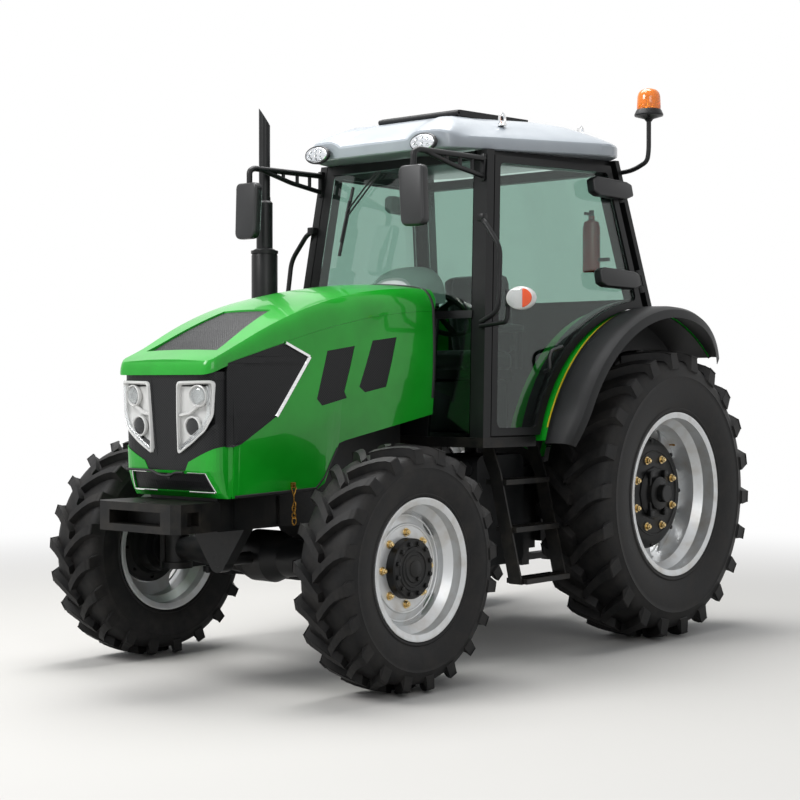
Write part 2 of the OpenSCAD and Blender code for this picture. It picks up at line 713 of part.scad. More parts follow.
// Posts behind the engine with the hood's hinge pins, from the rear axle centre
post_half = 20;
module hood_support() color(black) at_rear() {
  both() {
    box([post_x - post_half, gear_front + 2, gear_z[1] + 50],
      [post_x + post_half, gear_front + bell_t - 2, hood_hinge[1] + 14]);
    bar_x(hinge_pin_r, post_x - post_half, hood_lug[1] + 6, hood_hinge[0], hood_hinge[1]);
  }
  box([-post_x, gear_front + 8, 640], [post_x, gear_front + bell_t - 8, 690]);
}

// Exhaust beside the right pillar, from the rear axle centre

stack = [-665, -1592];
pipe_r = 31;
elbow_r = 70;
stack_z = [330, 560, 1359, 2040];

module exhaust_stack() color(black) at_rear() {
  translate([stack[0], stack[1], 0]) {
    rotate_extrude() polygon([[0, stack_z[0] + elbow_r], [pipe_r, stack_z[0] + elbow_r],
        [pipe_r, stack_z[1]],
      [58, stack_z[1] + 6], [72, stack_z[1] + 30], [72, stack_z[2] - 40], [60, stack_z[2] - 8],
          [45, stack_z[2]],
      [45, stack_z[2] + 250], [pipe_r, stack_z[2] + 262], [pipe_r, stack_z[3] - 110],
          [0, stack_z[3] - 110]]);
    // Curved tail, cut level at the tip
    translate([0, 240, stack_z[3] - 110]) rotate([90, 0, -90]) difference() {
      rotate_extrude(angle = 42) translate([240, 0]) circle(r = pipe_r);
      rotate_extrude(angle = 60, start = 26) translate([240, 0]) circle(r = pipe_r - 3);
    }
    // Elbow down to the engine side
    translate([elbow_r, 0, stack_z[0] + elbow_r]) rotate([90, 0, 0]) rotate_extrude(angle = 90, start = 180)
      translate([elbow_r, 0]) circle(r = pipe_r);
    bar_x(pipe_r, elbow_r, -stack[0] - engine_w / 2, 0, stack_z[0]);
    bar_x(pipe_r + 22, -stack[0] - engine_w / 2 - 14, -stack[0] - engine_w / 2, 0, stack_z[0]);
    for (z = [stack_z[2] - 330, stack_z[2] - 90])
      translate([0, 0, z]) rotate_extrude() translate([70, 0]) square([7, 26]);
  }
}

// Tanks and steps under the cab, from the rear axle centre

tank_y = [-1250, -842];
tank_z = [-340, 240];
tank_out = 545;
corner_r = 45;

module rounded(low, high, r) offset(r = r) offset(delta = -r) polygon([low, [high[0], low[1]], high,
    [low[0], high[1]]]);

// Fuel tank on the left, battery box on the right, both against the gearbox
module side_tanks() {
  tank_in = gear_w / 2 + 12;
  color(black) at_rear() {
    side_plate(tank_in, tank_out) rounded([tank_y[0], tank_z[0]], [tank_y[1], tank_z[1]], corner_r);
    bar_y(36, tank_y[0] - 18, tank_y[0], tank_out - 60, tank_z[1] - 70);
    mirror([1, 0, 0]) {
      side_plate(tank_in, tank_out) rounded([tank_y[0], tank_z[0] + 180], [tank_y[1], tank_z[1]],
          corner_r / 2);
      side_plate(tank_in + 40, tank_out) rounded([tank_y[0] + 10, tank_z[0]],
          [tank_y[1] - 60, tank_z[0] + 190], 60);
    }
  }
}

step_y = [-ra_z - 454, -ra_z - 50];
step_z = [122, -118, -378];
step_x = [668, 732, 800];
step_depth = 130;
step_rail = 12;
step_top_x = 622;

// Ladder that slopes outward, with three treads between two rails
module steps() color(black) at_rear() {
  for (y = [step_y[0], step_y[1] - step_rail])
    front_plate(y, y + step_rail) polygon([[step_top_x - 30, floor_z[0]], [step_top_x + 30, floor_z[0]],
      [step_x[0] + 34, step_z[0] + 40], [step_x[2] + 40, step_z[2] - 28], [step_x[2] - 40, step_z[2] - 28],
      [step_x[0] - 34, step_z[0] + 20], [step_top_x - 30, floor_z[0] - 60]]);
  for (i = [0:2])
    difference() {
      box([step_x[i] - step_depth / 2, step_y[0] + step_rail + face_gap, step_z[i] - 26],
        [step_x[i] + step_depth / 2, step_y[1] - step_rail - face_gap, step_z[i]]);
      for (k = [0:5])
        box([step_x[i] - step_depth / 2 + 14, step_y[0] + 30 + k * 60, step_z[i] - 30],
          [step_x[i] + step_depth / 2 - 14, step_y[0] + 70 + k * 60, step_z[i] + 4]);
    }
}

// Rear fenders, arcs about the rear axle

fender_r = ra_z + 227;
fender_t = 12;
fender_in = rear_track / 2 - 251;
fender_out = rear_track / 2 + 4;
fender_arc = [49, 162];

// A section drawn as (radius, distance from the centre line), swept round the rear axle from angle to angle
module arch(from, to) rotate([90, 0, 90]) rotate_extrude(angle = to - from, start = from,
    $fn = 96) children();

module fenders() color(green) at_rear() both() arch(fender_arc[0], fender_arc[1])
  polygon([[fender_r - 330, fender_in], [fender_r, fender_in], [fender_r, fender_out],
      [fender_r - fender_t, fender_out],
    [fender_r - fender_t, fender_in + fender_t], [fender_r - 330, fender_in + fender_t]]);

flare_w = 200;
module fender_flares() color(black) at_rear() both() arch(fender_arc[0] - 2, fender_arc[1] + 3)
  polygon(concat([for (k = [0:6]) curve(k / 6, [fender_r + 2, fender_out],
      [fender_r + 1, fender_out + 0.55 * flare_w], [fender_r - 40, fender_out + flare_w],
      [fender_r - 105, fender_out + flare_w])],
    [for (k = [6:-1:0]) curve(k / 6, [fender_r - 8, fender_out], [fender_r - 10, fender_out + 0.5 * flare_w],
      [fender_r - 48, fender_out + flare_w - 12], [fender_r - 105, fender_out + flare_w - 10])]));

// Cab, from the rear axle centre: each side is a flat plane that leans in and narrows to the front

taper = 7.3;
lean_in = 5.5;
pillar_lean = 7.4;
rear_lean = 12.8;
side_foot = [rear_track / 2 - 52, -1122, floor_z[1]];
front_foot = -1412;
rear_foot = [-62, 1112];
pillar_t = [door_t + 64, door_t + part_gap];
cab_top = floor_z[1] + cab_h;
door_front = 58;
door_rear = 26;
door_arc = fender_r + 14;
door_drop = [34, 14];
frame_w = 40;

function pillar_y(z) = front_foot + (z - floor_z[1]) * tan(pillar_lean);
function rear_y(z) = rear_foot[0] - (z - rear_foot[1]) * tan(rear_lean);
// A point (y, z) of the side view, on the leaning side plane
function on_side(p) =
  let (h = (p[1] - side_foot[2]) / cos(lean_in))
  [((p[0] - side_foot[1]) - h * sin(lean_in) * sin(taper)) / cos(taper), h];
function side_x(y, z) = side_foot[0] + (y - side_foot[1]) * tan(taper) - (z
    - side_foot[2]) * tan(lean_in) / cos(taper);

module in_side() translate(side_foot) rotate([0, 0, -taper]) rotate([0, -lean_in, 0]) children();
module side_slab(x0, x1) in_side() side_plate(x0, x1) children();

// Angle at which an arc about the rear axle meets the line of the rear pillar
function meet(r, set) =
  let (p = [rear_foot[0] + set, rear_foot[1]], u = [-sin(rear_lean), cos(rear_lean)], k = p * u,
    q = p + u * (sqrt(k * k - p * p + r * r) - k))
  atan2(q[1], q[0]);

// Underside of the roof, which rises to the rear
roof_tilt = 1.6;
roof_z = cab_top - 14;

// Side outline: front edge, sill, arc over the fender, rear edge and roof rail, each set off from the
// pillar lines
module side_outline(front, sill, r, rear, drop) {
  a0 = 180 - asin(sill / r);
  a1 = meet(r, rear);
  top = [cab_top - drop[0], cab_top - drop[1]];
  polygon([for (p = concat([[pillar_y(sill) + front, sill]],
    [for (k = [0:12]) r * [cos(mix(k / 12, a0, a1)), sin(mix(k / 12, a0, a1))]],
    [[rear_y(top[1]) + rear, top[1]], [pillar_y(top[0]) + front, top[0]]])) on_side(p)]);
}

module door_outline(inset) offset(delta = -inset)
  side_outline(door_front, floor_z[1] + 8, door_arc, -door_rear, door_drop);

// A strip along the front or rear pillar, from z0 to z1
module front_strip(y0, y1, z0, z1)
  polygon([for (p = [[pillar_y(z0) + y0, z0], [pillar_y(z0) + y1, z0], [pillar_y(z1) + y1, z1],
      [pillar_y(z1) + y0, z1]])
    on_side(p)]);
module rear_strip(y0, y1, z0, z1)
  polygon([for (p = [[rear_y(z0) + y0, z0], [rear_y(z0) + y1, z0], [rear_y(z1) + y1, z1],
      [rear_y(z1) + y0, z1]])
    on_side(p)]);

// Door hinges: axis along the rear pillar, just behind the door's rear edge
door_axis_y = 2;
door_axis_in = -12;
door_pin_r = 8;
hinge_r = 17;
hinge_h = 64;
hinge_z = [1190, 1690];
hinge_lean = atan((tan(rear_lean) * cos(lean_in) + sin(lean_in) * sin(taper)) / cos(taper));

module at_hinge(z) in_side() translate([door_axis_in, on_side([rear_y(z) + door_axis_y, z])[0],
  on_side([rear_y(z) + door_axis_y, z])[1]]) rotate([hinge_lean, 0, 0]) children();

module frame_hinge(z) at_hinge(z) {
  bar_z(door_pin_r, -hinge_h, hinge_h, 0, 0);
  for (s = [0, 1])
    mirror([0, 0, s]) {
      bar_z(hinge_r, hinge_h / 2 + face_gap, hinge_h, 0, 0);
      box([-hinge_r, 0, hinge_h / 2 + face_gap], [hinge_r, 44, hinge_h]);
    }
}

module door_hinge(z) at_hinge(z) difference() {
  union() {
    bar_z(hinge_r, -hinge_h / 2, hinge_h / 2, 0, 0);
    box([-hinge_r + 4, -door_rear - door_axis_y - 8, -hinge_h / 2], [hinge_r - 8, 0, hinge_h / 2]);
  }
  bar_z(door_pin_r + run_gap, -hinge_h, hinge_h, 0, 0);
}

rail_z = [955, 995];
header_z = [cab_top - 62, cab_top - 12];
rear_rail_z = [fender_r + 8, fender_r + 54];

module side_frame() {
  difference() {
    union() {
      side_slab(-pillar_t[0], -pillar_t[1]) difference() {
        side_outline(4, floor_z[1] - 30, fender_r - 14, 30, [-20, -50]);
        offset(delta = -frame_w + 10) side_outline(door_front, floor_z[1] + 8, door_arc + 20, -door_rear,
            door_drop);
      }
      side_slab(-pillar_t[1] - 1, 0) {
        front_strip(0, door_front - part_gap, floor_z[1] - 30, cab_top + 12);
        rear_strip(door_axis_y + hinge_r + 4, 56, fender_r - 30, cab_top + 40);
      }
      side_slab(-pillar_t[0], -1) rear_strip(28, 52, fender_r - 36, cab_top + 46);
    }
    bar_x(fender_r + part_gap, 400, 1100, 0, 0);
  }
  for (z = hinge_z)
    frame_hinge(z);
}

// Sheet that follows the front pillars, between two heights
module front_sheet(half_w, set, t, z0, z1) side_plate(-half_w, half_w)
  polygon([[pillar_y(z0) + set, z0], [pillar_y(z0) + set + t, z0], [pillar_y(z1) + set + t, z1],
      [pillar_y(z1) + set, z1]]);
module rear_sheet(half_w, set, t, z0, z1) side_plate(-half_w, half_w)
  polygon([[rear_y(z0) - set - t, z0], [rear_y(z0) - set, z0], [rear_y(z1) - set, z1],
      [rear_y(z1) - set - t, z1]]);

// Half width between the pillars at a point of the side view
function clear_x(y, z) = side_x(y, z) - pillar_t[0] / cos(taper);
firewall_w = 330;
rear_set = 22;

module cab_frame() color(black) at_rear() difference() {
  union() {
    both() side_frame();
    front_sheet(clear_x(pillar_y(rail_z[0]), rail_z[0]) + 8, 8, 38, rail_z[0], rail_z[1]);
    front_sheet(clear_x(pillar_y(header_z[0]), header_z[0]) + 8, 4, 50, header_z[0], header_z[1]);
    rear_sheet(clear_x(rear_y(header_z[0]), header_z[0]) + 8, 0, 55, header_z[0], header_z[1]);
    rear_sheet(clear_x(rear_y(rear_rail_z[0]), rear_rail_z[0]) + 8, 0, 55, rear_rail_z[0], rear_rail_z[1]);
    front_sheet(firewall_w, 12, 28, floor_z[1], rail_z[0] + 1);
    // Rear wall between the fenders
    box([-fender_in + face_gap, -118, floor_z[1]], [fender_in - face_gap, -96, rear_rail_z[0] + 6]);
  }
  box([-1200, -2000, floor_z[0] - 100], [1200, 300, floor_z[1]]);
  in_roof() box([-1200, -2000, -0.1], [1200, 300, 200]);
}

module cab_windows() color(clear) at_rear() {
  // Windscreen
  intersection() {
    front_sheet(800, 16, glass_t, rail_z[1], header_z[0]);
    front_plate(-1600, -1000) pane(rail_z[1], header_z[0], true);
  }
  // Lower panes beside the hood
  both() intersection() {
    front_sheet(800, 16, glass_t, floor_z[1], rail_z[0]);
    front_plate(-1600, -1000) difference() {
      pane(floor_z[1], rail_z[0], true);
      translate([-900, 0]) square([900 + firewall_w, 2000]);
    }
  }
  // Rear window
  intersection() {
    rear_sheet(800, rear_set, glass_t, rear_rail_z[1], header_z[0]);
    front_plate(-600, 200) pane(rear_rail_z[1], header_z[0], false);
  }
}

// Pane outline between the pillars, as (x, z)
module pane(z0, z1, front) {
  x0 = clear_x(front ? pillar_y(z0) : rear_y(z0) - rear_set - glass_t, z0) - 1;
  x1 = clear_x(front ? pillar_y(z1) : rear_y(z1) - rear_set - glass_t, z1) - 1;
  polygon([[-x0, z0], [x0, z0], [x1, z1], [-x1, z1]]);
}

module cab_floor() color(black) at_rear() {
  plan_plate(floor_z[0], floor_z[1]) polygon([for (p = concat(floor_half,
      [for (k = [len(floor_half) - 1:-1:0])
    [-floor_half[k][0], floor_half[k][1]]])) p]);
  both() {
    bar_z(42, 160, floor_z[0] + 1, mount_x, mount_y);
    bar_z(42, pad_z, floor_z[0] + 1, rear_mount[0], rear_mount[1]);
  }
}
floor_half = [[side_x(front_foot, floor_z[1]), front_foot], [side_x(-1010, floor_z[1]) - 12, -1010],
  [fender_in - face_gap, -1010], [fender_in - face_gap, 20]];

module left_door() color(black) at_rear() door();
module right_door() color(black) at_rear() mirror([1, 0, 0]) door();
module left_door_glass() color(clear) at_rear() door_glass();
module right_door_glass() color(clear) at_rear() mirror([1, 0, 0]) door_glass();

module door() {
  side_slab(-door_t, 0) difference() {
    door_outline(0);
    offset(r = 30) offset(delta = -30) door_outline(frame_w);
  }
  for (z = hinge_z)
    door_hinge(z);
}
module door_glass() side_slab(-door_t / 2 - glass_t / 2, -door_t / 2 + glass_t / 2)
  offset(r = 30) offset(delta = -30) door_outline(frame_w);

// Roof: a fascia of trapezoid plan under a low crown, with a hatch opening and a hollow headliner

roof_front = [470, -1440];
roof_rear = [840, -320];
roof_tail = [560, -120];
fascia_h = 88;
crown_h = 215;
hatch_w = 560;
hatch_y = [-1060, -440];
hatch_t = 34;
hatch_pin_r = 7;
hatch_barrel_r = 15.5;

module roof_plan(inset) offset(r = 60) offset(delta = -60 - inset)
  polygon([[-roof_front[0], roof_front[1]], [roof_front[0], roof_front[1]], roof_rear, roof_tail,
    [-roof_tail[0], roof_tail[1]], [-roof_rear[0], roof_rear[1]]]);
module in_roof() translate([0, roof_front[1], roof_z]) rotate([roof_tilt, 0, 0]) translate([0,
    -roof_front[1], 0])
  children();

module roof_panel() color(silver) at_rear() in_roof() {
  difference() {
    hull() {
      plan_plate(0, fascia_h) roof_plan(0, $fn = 32);
      plan_plate(fascia_h, fascia_h + 50) roof_plan(70, $fn = 32);
      plan_plate(crown_h - 2, crown_h) roof_plan(250, $fn = 32);
    }
    plan_plate(34, crown_h - 60) roof_plan(300, $fn = 32);
    plan_plate(-1, crown_h + 50) offset(delta = -40) translate([0, (hatch_y[0] + hatch_y[1]) / 2])
      square([hatch_w, hatch_y[1] - hatch_y[0]], center = true);
  }
  // Ears with the pins that the hatch turns on
  both() {
    box([hatch_w / 2 + 4, hatch_y[0] - 14, crown_h - 20], [hatch_w / 2 + 24, hatch_y[0] + 14, crown_h + 30]);
    bar_x(hatch_pin_r, hatch_w / 2 - 30, hatch_w / 2 + 10, hatch_y[0], crown_h + 16);
  }
}

// Lid over the hatch opening, hinged at its front edge
module roof_hatch() color(black) at_rear() in_roof() difference() {
  union() {
    translate([0, (hatch_y[0] + hatch_y[1] + 25) / 2]) plan_plate(crown_h + face_gap, crown_h + hatch_t)
      offset(r = 20) square([hatch_w - 40, hatch_y[1] - hatch_y[0] - 15], center = true);
    bar_x(hatch_barrel_r, -hatch_w / 2, hatch_w / 2, hatch_y[0], crown_h + 16);
  }
  translate([0, (hatch_y[0] + hatch_y[1]) / 2]) plan_plate(crown_h - 1, crown_h + hatch_t - 10)
    square([hatch_w - 130, hatch_y[1] - hatch_y[0] - 130], center = true);
  bar_x(hatch_pin_r + run_gap, -hatch_w, hatch_w, hatch_y[0], crown_h + 16);
}

lamp_x = 372;
module roof_lamps() color(silver) at_rear() in_roof() both()
  front_plate(roof_front[1] - 26, roof_front[1]) translate([lamp_x, 48]) hull() for (s = [-1, 1])
    translate([s * 28, 0]) circle(r = 34);

// Inside the cab

module seat() color(black) at_rear() {
  side_plate(-235, 235) offset(r = 30) offset(delta = -30)
    polygon([[-900, 700], [-880, 790], [-540, 770], [-440, 1260], [-340, 1250], [-420, 690], [-480, 640]]);
  box([-170, -820, floor_z[1]], [170, -480, 666]);
}

wheel_at_cab = [-905, 1010];
wheel_tilt = 35;
column_r = 15;
module at_column() translate([0, wheel_at_cab[0], wheel_at_cab[1]]) rotate([-wheel_tilt, 0, 0]) children();

module dash_console() color(iron) at_rear() {
  side_plate(-150, 150) polygon([[pillar_y(floor_z[1]) + 60, floor_z[1]], [pillar_y(900) + 60, 900],
    [-1160, 1010], [-1070, 960], [-1080, 860], [-1180, floor_z[1]]]);
  at_column() {
    bar_z(30, -290, -24, 0, 0);
    bar_z(column_r, -25, 12, 0, 0);
  }
}

module steering_wheel() color(black) at_rear() at_column() {
  rotate_extrude() translate([steering_r, 0]) circle(r = 15);
  difference() {
    union() {
      rotate_extrude() polygon([[0, -22], [38, -22], [46, 0], [38, 20], [0, 24]]);
      for (a = [90, 210, 330])
        rotate([0, 0, a]) box([34, -16, -10], [steering_r, 16, 4]);
    }
    bar_z(column_r + run_gap, -40, 14, 0, 0);
  }
}

// Outside the cab

mirror_y = -1800;
mirror_z = [1392, 1692];
module mirrors() color(black) at_rear() both() {
  x = side_x(pillar_y(1720), 1720) - 24;
  side_plate(x - 8, x + 8) difference() {
    polygon([[pillar_y(1640) + 1, 1640], [pillar_y(1790) + 1, 1790], [mirror_y, 1800], [mirror_y, 1768]]);
    polygon([[pillar_y(1640) - 26, 1690], [pillar_y(1790) - 34, 1768], [mirror_y + 180, 1774]]);
    polygon([[mirror_y + 150, 1788], [mirror_y + 40, 1790], [mirror_y + 40, 1780], [mirror_y + 140, 1778]]);
  }
  bar_z(12, mirror_z[1] - 10, 1800, x, mirror_y);
  translate([x, mirror_y - 4, 0]) front_plate(-26, 26) offset(r = 34) offset(delta = -34)
    polygon([[-82, mirror_z[1]], [78, mirror_z[1]], [88, mirror_z[0]], [-62, mirror_z[0]]]);
}

beacon_at = [905, -165];
beacon_z = [1796, 2075];
module beacon() color("#e07a12") at_rear() {
  tube(11, [[676, rear_y(beacon_z[0]) + 68, beacon_z[0]], [800, beacon_at[1] + 4, beacon_z[0] + 8],
    [beacon_at[0] - 14, beacon_at[1], beacon_z[0] + 44], [beacon_at[0], beacon_at[1], beacon_z[0] + 100],
    [beacon_at[0], beacon_at[1], beacon_z[1] + 10]]);
  translate([beacon_at[0], beacon_at[1], beacon_z[1]]) rotate_extrude() polygon([[0, 0], [22, 0], [64, 30],
      [58, 50],
    [52, 56], [52, 130], [44, 158], [0, 166]]);
}

lamp_at = [930, -1392, 1042];
module indicator_lamps() color(silver) at_rear() both() {
  root = [side_x(pillar_y(910), 910) - 24, pillar_y(910) - 7, 910];
  tube(10, [root, [lamp_at[0] - 90, lamp_at[1], 930], [lamp_at[0] - 78, lamp_at[1], lamp_at[2] + 10]]);
  front_plate(lamp_at[1] - 34, lamp_at[1] + 26) translate([lamp_at[0], lamp_at[2]]) hull() for (s = [-1, 1])
    translate([s * 18, 0]) circle(r = 54);
}

rail_heights = [1500, 960];
module grab_rails() color(black) at_rear() both() {
  x0 = side_x(pillar_y(rail_heights[0]), rail_heights[0]) - 34;
  x1 = side_x(pillar_y(rail_heights[1]), rail_heights[1]) - 34;
  tube(11, [[x0, pillar_y(rail_heights[0]) - 5, rail_heights[0]], [x0 + 6, pillar_y(1420) - 75, 1420],
    [x1, pillar_y(1040) - 75, 1040], [x1, pillar_y(rail_heights[1]) - 5, rail_heights[1]]]);
}

front_support();
weight_carrier();
engine_block();
gearbox_housing();
rear_axle_housing();
front_axle();
hood_support();
exhaust_stack();
side_tanks();
steps();
cab_floor();
cab_frame();
cab_windows();
roof_panel();
roof_lamps();
fenders();
fender_flares();
seat();
dash_console();
mirrors();
beacon();
indicator_lamps();
grab_rails();
drawbar();
pto_shaft();
hood_top();
hood_sides();
hood_screens();
headlamps();
nose_panel();
left_knuckle();
right_knuckle();
tie_rod();
steering_wheel();
front_tyre(true);  // front_left_tyre
front_wheel_at(true) front_rim();  // front_left_rim
front_wheel_at(true) front_hub();  // front_left_hub
front_tyre(false);  // front_right_tyre
front_wheel_at(false) front_rim();  // front_right_rim
front_wheel_at(false) front_hub();  // front_right_hub
rear_tyre(true);  // rear_left_tyre
rear_wheel_at(true) rear_rim();  // rear_left_rim
rear_wheel_at(true) rear_hub();  // rear_left_hub
rear_tyre(false);  // rear_right_tyre
rear_wheel_at(false) rear_rim();  // rear_right_rim
rear_wheel_at(false) rear_hub();  // rear_right_hub
left_door();
left_door_glass();
right_door();
right_door_glass();
roof_hatch();
lower_links();
lift_arms();
lift_rods();
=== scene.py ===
# %% [markdown]
# # A farm tractor, finished in Blender
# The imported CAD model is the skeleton: every casting, hinge and wheel is already in place, in metres, with
# the ground at z = 0, the nose towards -Y and the left side towards +X. This lesson dresses it: smooth panels
# over the faceted ones, lugs on the tyres, lamps, glass, a padded seat, and a finish for each surface.

# %% Load the frame
from math import cos, exp, pi, radians, sin, sqrt, tan

import bmesh
import bpy
from mathutils import Matrix, Vector
from mathutils.bvhtree import BVHTree


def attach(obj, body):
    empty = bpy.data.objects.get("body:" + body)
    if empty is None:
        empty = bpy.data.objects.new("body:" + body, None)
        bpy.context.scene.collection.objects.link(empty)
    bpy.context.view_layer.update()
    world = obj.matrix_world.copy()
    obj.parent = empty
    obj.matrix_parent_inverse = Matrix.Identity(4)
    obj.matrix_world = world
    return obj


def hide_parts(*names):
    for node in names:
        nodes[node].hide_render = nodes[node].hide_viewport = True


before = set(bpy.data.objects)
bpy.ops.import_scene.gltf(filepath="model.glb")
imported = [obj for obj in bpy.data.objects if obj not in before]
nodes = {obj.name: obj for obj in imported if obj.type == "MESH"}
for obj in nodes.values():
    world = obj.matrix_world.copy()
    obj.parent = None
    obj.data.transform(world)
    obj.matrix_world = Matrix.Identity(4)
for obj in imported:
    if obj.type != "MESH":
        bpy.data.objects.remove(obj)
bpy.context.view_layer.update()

scene = bpy.context.scene

# %% [markdown]
# The photographer stood ahead of the tractor, on its left, with the lens about as high as the hood. The
# picture's vanishing lines gave the place, the turn and the focal length, so the camera is typed in rather
# than searched for.

# %% Camera
PICTURE = 800
FOCAL_PX = 1684.4
CENTRE_PX = (384.9, 400.3)
SENSOR_MM = 36
camera_data = bpy.data.cameras.new("photo_camera")
camera_data.sensor_width = SENSOR_MM
camera_data.lens = FOCAL_PX * SENSOR_MM / PICTURE
camera_data.shift_x = (PICTURE / 2 - CENTRE_PX[0]) / PICTURE
camera_data.shift_y = (CENTRE_PX[1] - PICTURE / 2) / PICTURE
camera = bpy.data.objects.new("photo_camera", camera_data)
camera.location = (5.876, -7.070, 1.421)
camera.rotation_euler = (radians(90 - 0.547), 0, radians(40.66))
scene.collection.objects.link(camera)
scene.camera = camera
print("lens", round(camera_data.lens, 1), "mm")

# %% [markdown]
# Both axles carry a frame of their own. Measures that belong to the hood and the front axle are taken from
# the front axle's centre, and those of the cab from the rear axle's centre, in millimetres as on a drawing.

# %% Points on the drawing
FRONT_AXLE = Vector((0, -1.122, 0.573))
REAR_AXLE = Vector((0, 1.122, 0.808))
MM = 0.001


def from_front(x, y, z):
    return FRONT_AXLE + Vector((x, y, z)) * MM


def from_rear(x, y, z):
    return REAR_AXLE + Vector((x, y, z)) * MM


print("wheelbase", round((REAR_AXLE - FRONT_AXLE).y, 3), "m")

# %% [markdown]
# ## Finishes
# One function turns an sRGB hex colour into the linear values that shaders use. Another adds a node with its
# settings and links, so each finish below reads as a short list of nodes.

# %% Colour and node helpers
def linear(hex_colour):
    channels = [int(hex_colour[i:i + 2], 16) / 255 for i in (1, 3, 5)]
    return [c / 12.92 if c <= 0.04045 else ((c + 0.055) / 1.055) ** 2.4 for c in channels] + [1]


def wire(tree, node, sockets):
    """Types values into a node's sockets; a socket or a node (its first output) is linked instead."""
    for socket, value in sockets.items():
        if isinstance(value, bpy.types.Node):
            value = value.outputs[0]
        if isinstance(value, bpy.types.NodeSocket):
            tree.links.new(value, node.inputs[socket])
        else:
            node.inputs[socket].default_value = value


def add_node(tree, kind, sockets=(), **settings):
    node = tree.nodes.new(kind)
    for name, value in settings.items():
        setattr(node, name, value)
    wire(tree, node, dict(sockets))
    return node


def start_finish(name, hex_colour, roughness, **constants):
    """A material with one shader, whose plain values sit on the shader's own sockets."""
    material = bpy.data.materials.new(name)
    material.use_nodes = True
    shader = material.node_tree.nodes["Principled BSDF"]
    constants = {socket.replace("_", " "): value for socket, value in constants.items()}
    wire(material.node_tree, shader, {"Base Color": linear(hex_colour), "Roughness": roughness, **constants})
    return material, material.node_tree, shader


print("helpers ready; mid grey is", round(linear("#808080")[0], 3))

# %% [markdown]
# Paint, rubber, metal and glass have one thing in common: tone and shine drift over patches of a certain
# size, and a finer grain breaks the reflections. One function draws that, and each finish below gives its own
# sizes and colours.

# %% A surface with patches and grain
def surface(name, colour, roughness, patch, detail, tones=(), span=(0.35, 0.65), shine=(), lumps=0.5,
            stretch=(1, 1, 1), grain=None, **constants):
    """Tones and shine are the two ends of the drift, span is where it reaches them, and a patch is in metres.

    A grain is a texture's kind, its sockets, and the depth in metres and strength of its relief."""
    material, tree, shader = start_finish(name, colour, roughness, **constants)
    place = add_node(tree, "ShaderNodeTexCoord").outputs["Object"]
    spot = add_node(tree, "ShaderNodeMapping", {"Vector": place, "Scale": stretch})
    drift = add_node(tree, "ShaderNodeTexNoise", {"Vector": spot, "Scale": 1 / patch, "Detail": detail,
                                                  "Roughness": lumps})
    if tones:
        share = add_node(tree, "ShaderNodeMapRange", {"Value": drift, "From Min": span[0], "From Max": span[1]})
        tone = add_node(tree, "ShaderNodeMix", {0: share, 6: linear(tones[0]), 7: linear(tones[1])},
                        data_type="RGBA")
        wire(tree, shader, {"Base Color": tone.outputs[2]})
    if shine:
        gloss = add_node(tree, "ShaderNodeMapRange", {"Value": drift, "To Min": shine[0], "To Max": shine[1]})
        wire(tree, shader, {"Roughness": gloss})
    if grain:
        kind, sockets, depth, strength = grain
        texture = add_node(tree, kind, {"Vector": place, **sockets})
        relief = add_node(tree, "ShaderNodeBump", {"Height": texture, "Distance": depth, "Strength": strength})
        wire(tree, shader, {"Normal": relief})
    return material


NOISE, CELLS = "ShaderNodeTexNoise", "ShaderNodeTexVoronoi"
print("one function for patches and grain")

# %% [markdown]
# Hood and fenders are pressed sheet steel under a thick green enamel with a clear coat. The colour comes from
# the base, the wet look from the coat, and a very shallow waviness keeps the reflections from looking
# computed.

# %% Green enamel
# A deep leaf green, wet and even: an orange peel of about 8 mm, and a tone that drifts over a hand's width
green_enamel = surface("green_enamel_on_steel", "#129d22", 0.3, 0.25, 3.0, ("#0f961e", "#14a425"),
                       grain=(NOISE, {"Scale": 1 / 0.008, "Detail": 1.0}, 0.00012, 0.35),
                       Coat_Weight=0.5, Coat_Roughness=0.04, IOR=1.5, Specular_IOR_Level=0.2)
print(green_enamel.name)

# %% [markdown]
# The frame, the doors, the carrier and the ladder are steel under satin black paint. Dust settles on it in
# soft patches, which lifts the black and takes the shine away. Tyre rubber is carbon black with a bloom of
# grey, and soil dust clings to it in the texture left by the mould.

# %% Black paint, castings and rubber
def painted_black(name, dark, dusty, patch, shine):
    return surface(name, dark, shine[0], patch, 6.0, (dark, dusty), (0.45, 0.8), shine, 0.65,
                   grain=(NOISE, {"Scale": 1 / 0.004, "Detail": 2.0}, 0.0002, 0.4),
                   IOR=1.5, Specular_IOR_Level=0.25)


# Cab: clean satin black. Carrier and steps: black rubbed brown by boots. Castings: black with dull brown dust
cab_paint = painted_black("satin_black_paint_on_steel", "#101112", "#1d1e1e", 0.30, (0.25, 0.5))
worn_paint = painted_black("worn_black_paint_on_steel", "#0e0e0e", "#2b2823", 0.10, (0.25, 0.55))
casting = painted_black("black_paint_on_cast_iron", "#0e0f10", "#24221f", 0.14, (0.28, 0.55))
# Flares, tanks and hatch: a matt, even black with a leathery grain
grained_plastic = painted_black("grained_black_polypropylene", "#141516", "#242526", 0.20, (0.42, 0.62))
# Tyres: nearly black in the wells, warm grey where soil has dried
tyre_rubber = surface("natural_rubber_with_carbon_black", "#191919", 0.7, 0.11, 8.0, ("#0f0f10", "#2a2826"),
                      (0.42, 0.78), (0.42, 0.75), 0.7,
                      grain=(NOISE, {"Scale": 1 / 0.003, "Detail": 3.0}, 0.0006, 0.5),
                      IOR=1.52, Specular_IOR_Level=0.22)
print("blacks:", cab_paint.name, worn_paint.name, casting.name, grained_plastic.name, tyre_rubber.name)

# %% [markdown]
# Wheels are silver: an aluminium-flake lacquer, so half metal to the eye, with dust in the wells. Nuts carry
# a yellow zinc plating, strips and lifting eyes are chromed, and the mirrors and lamp bowls are bright metal.

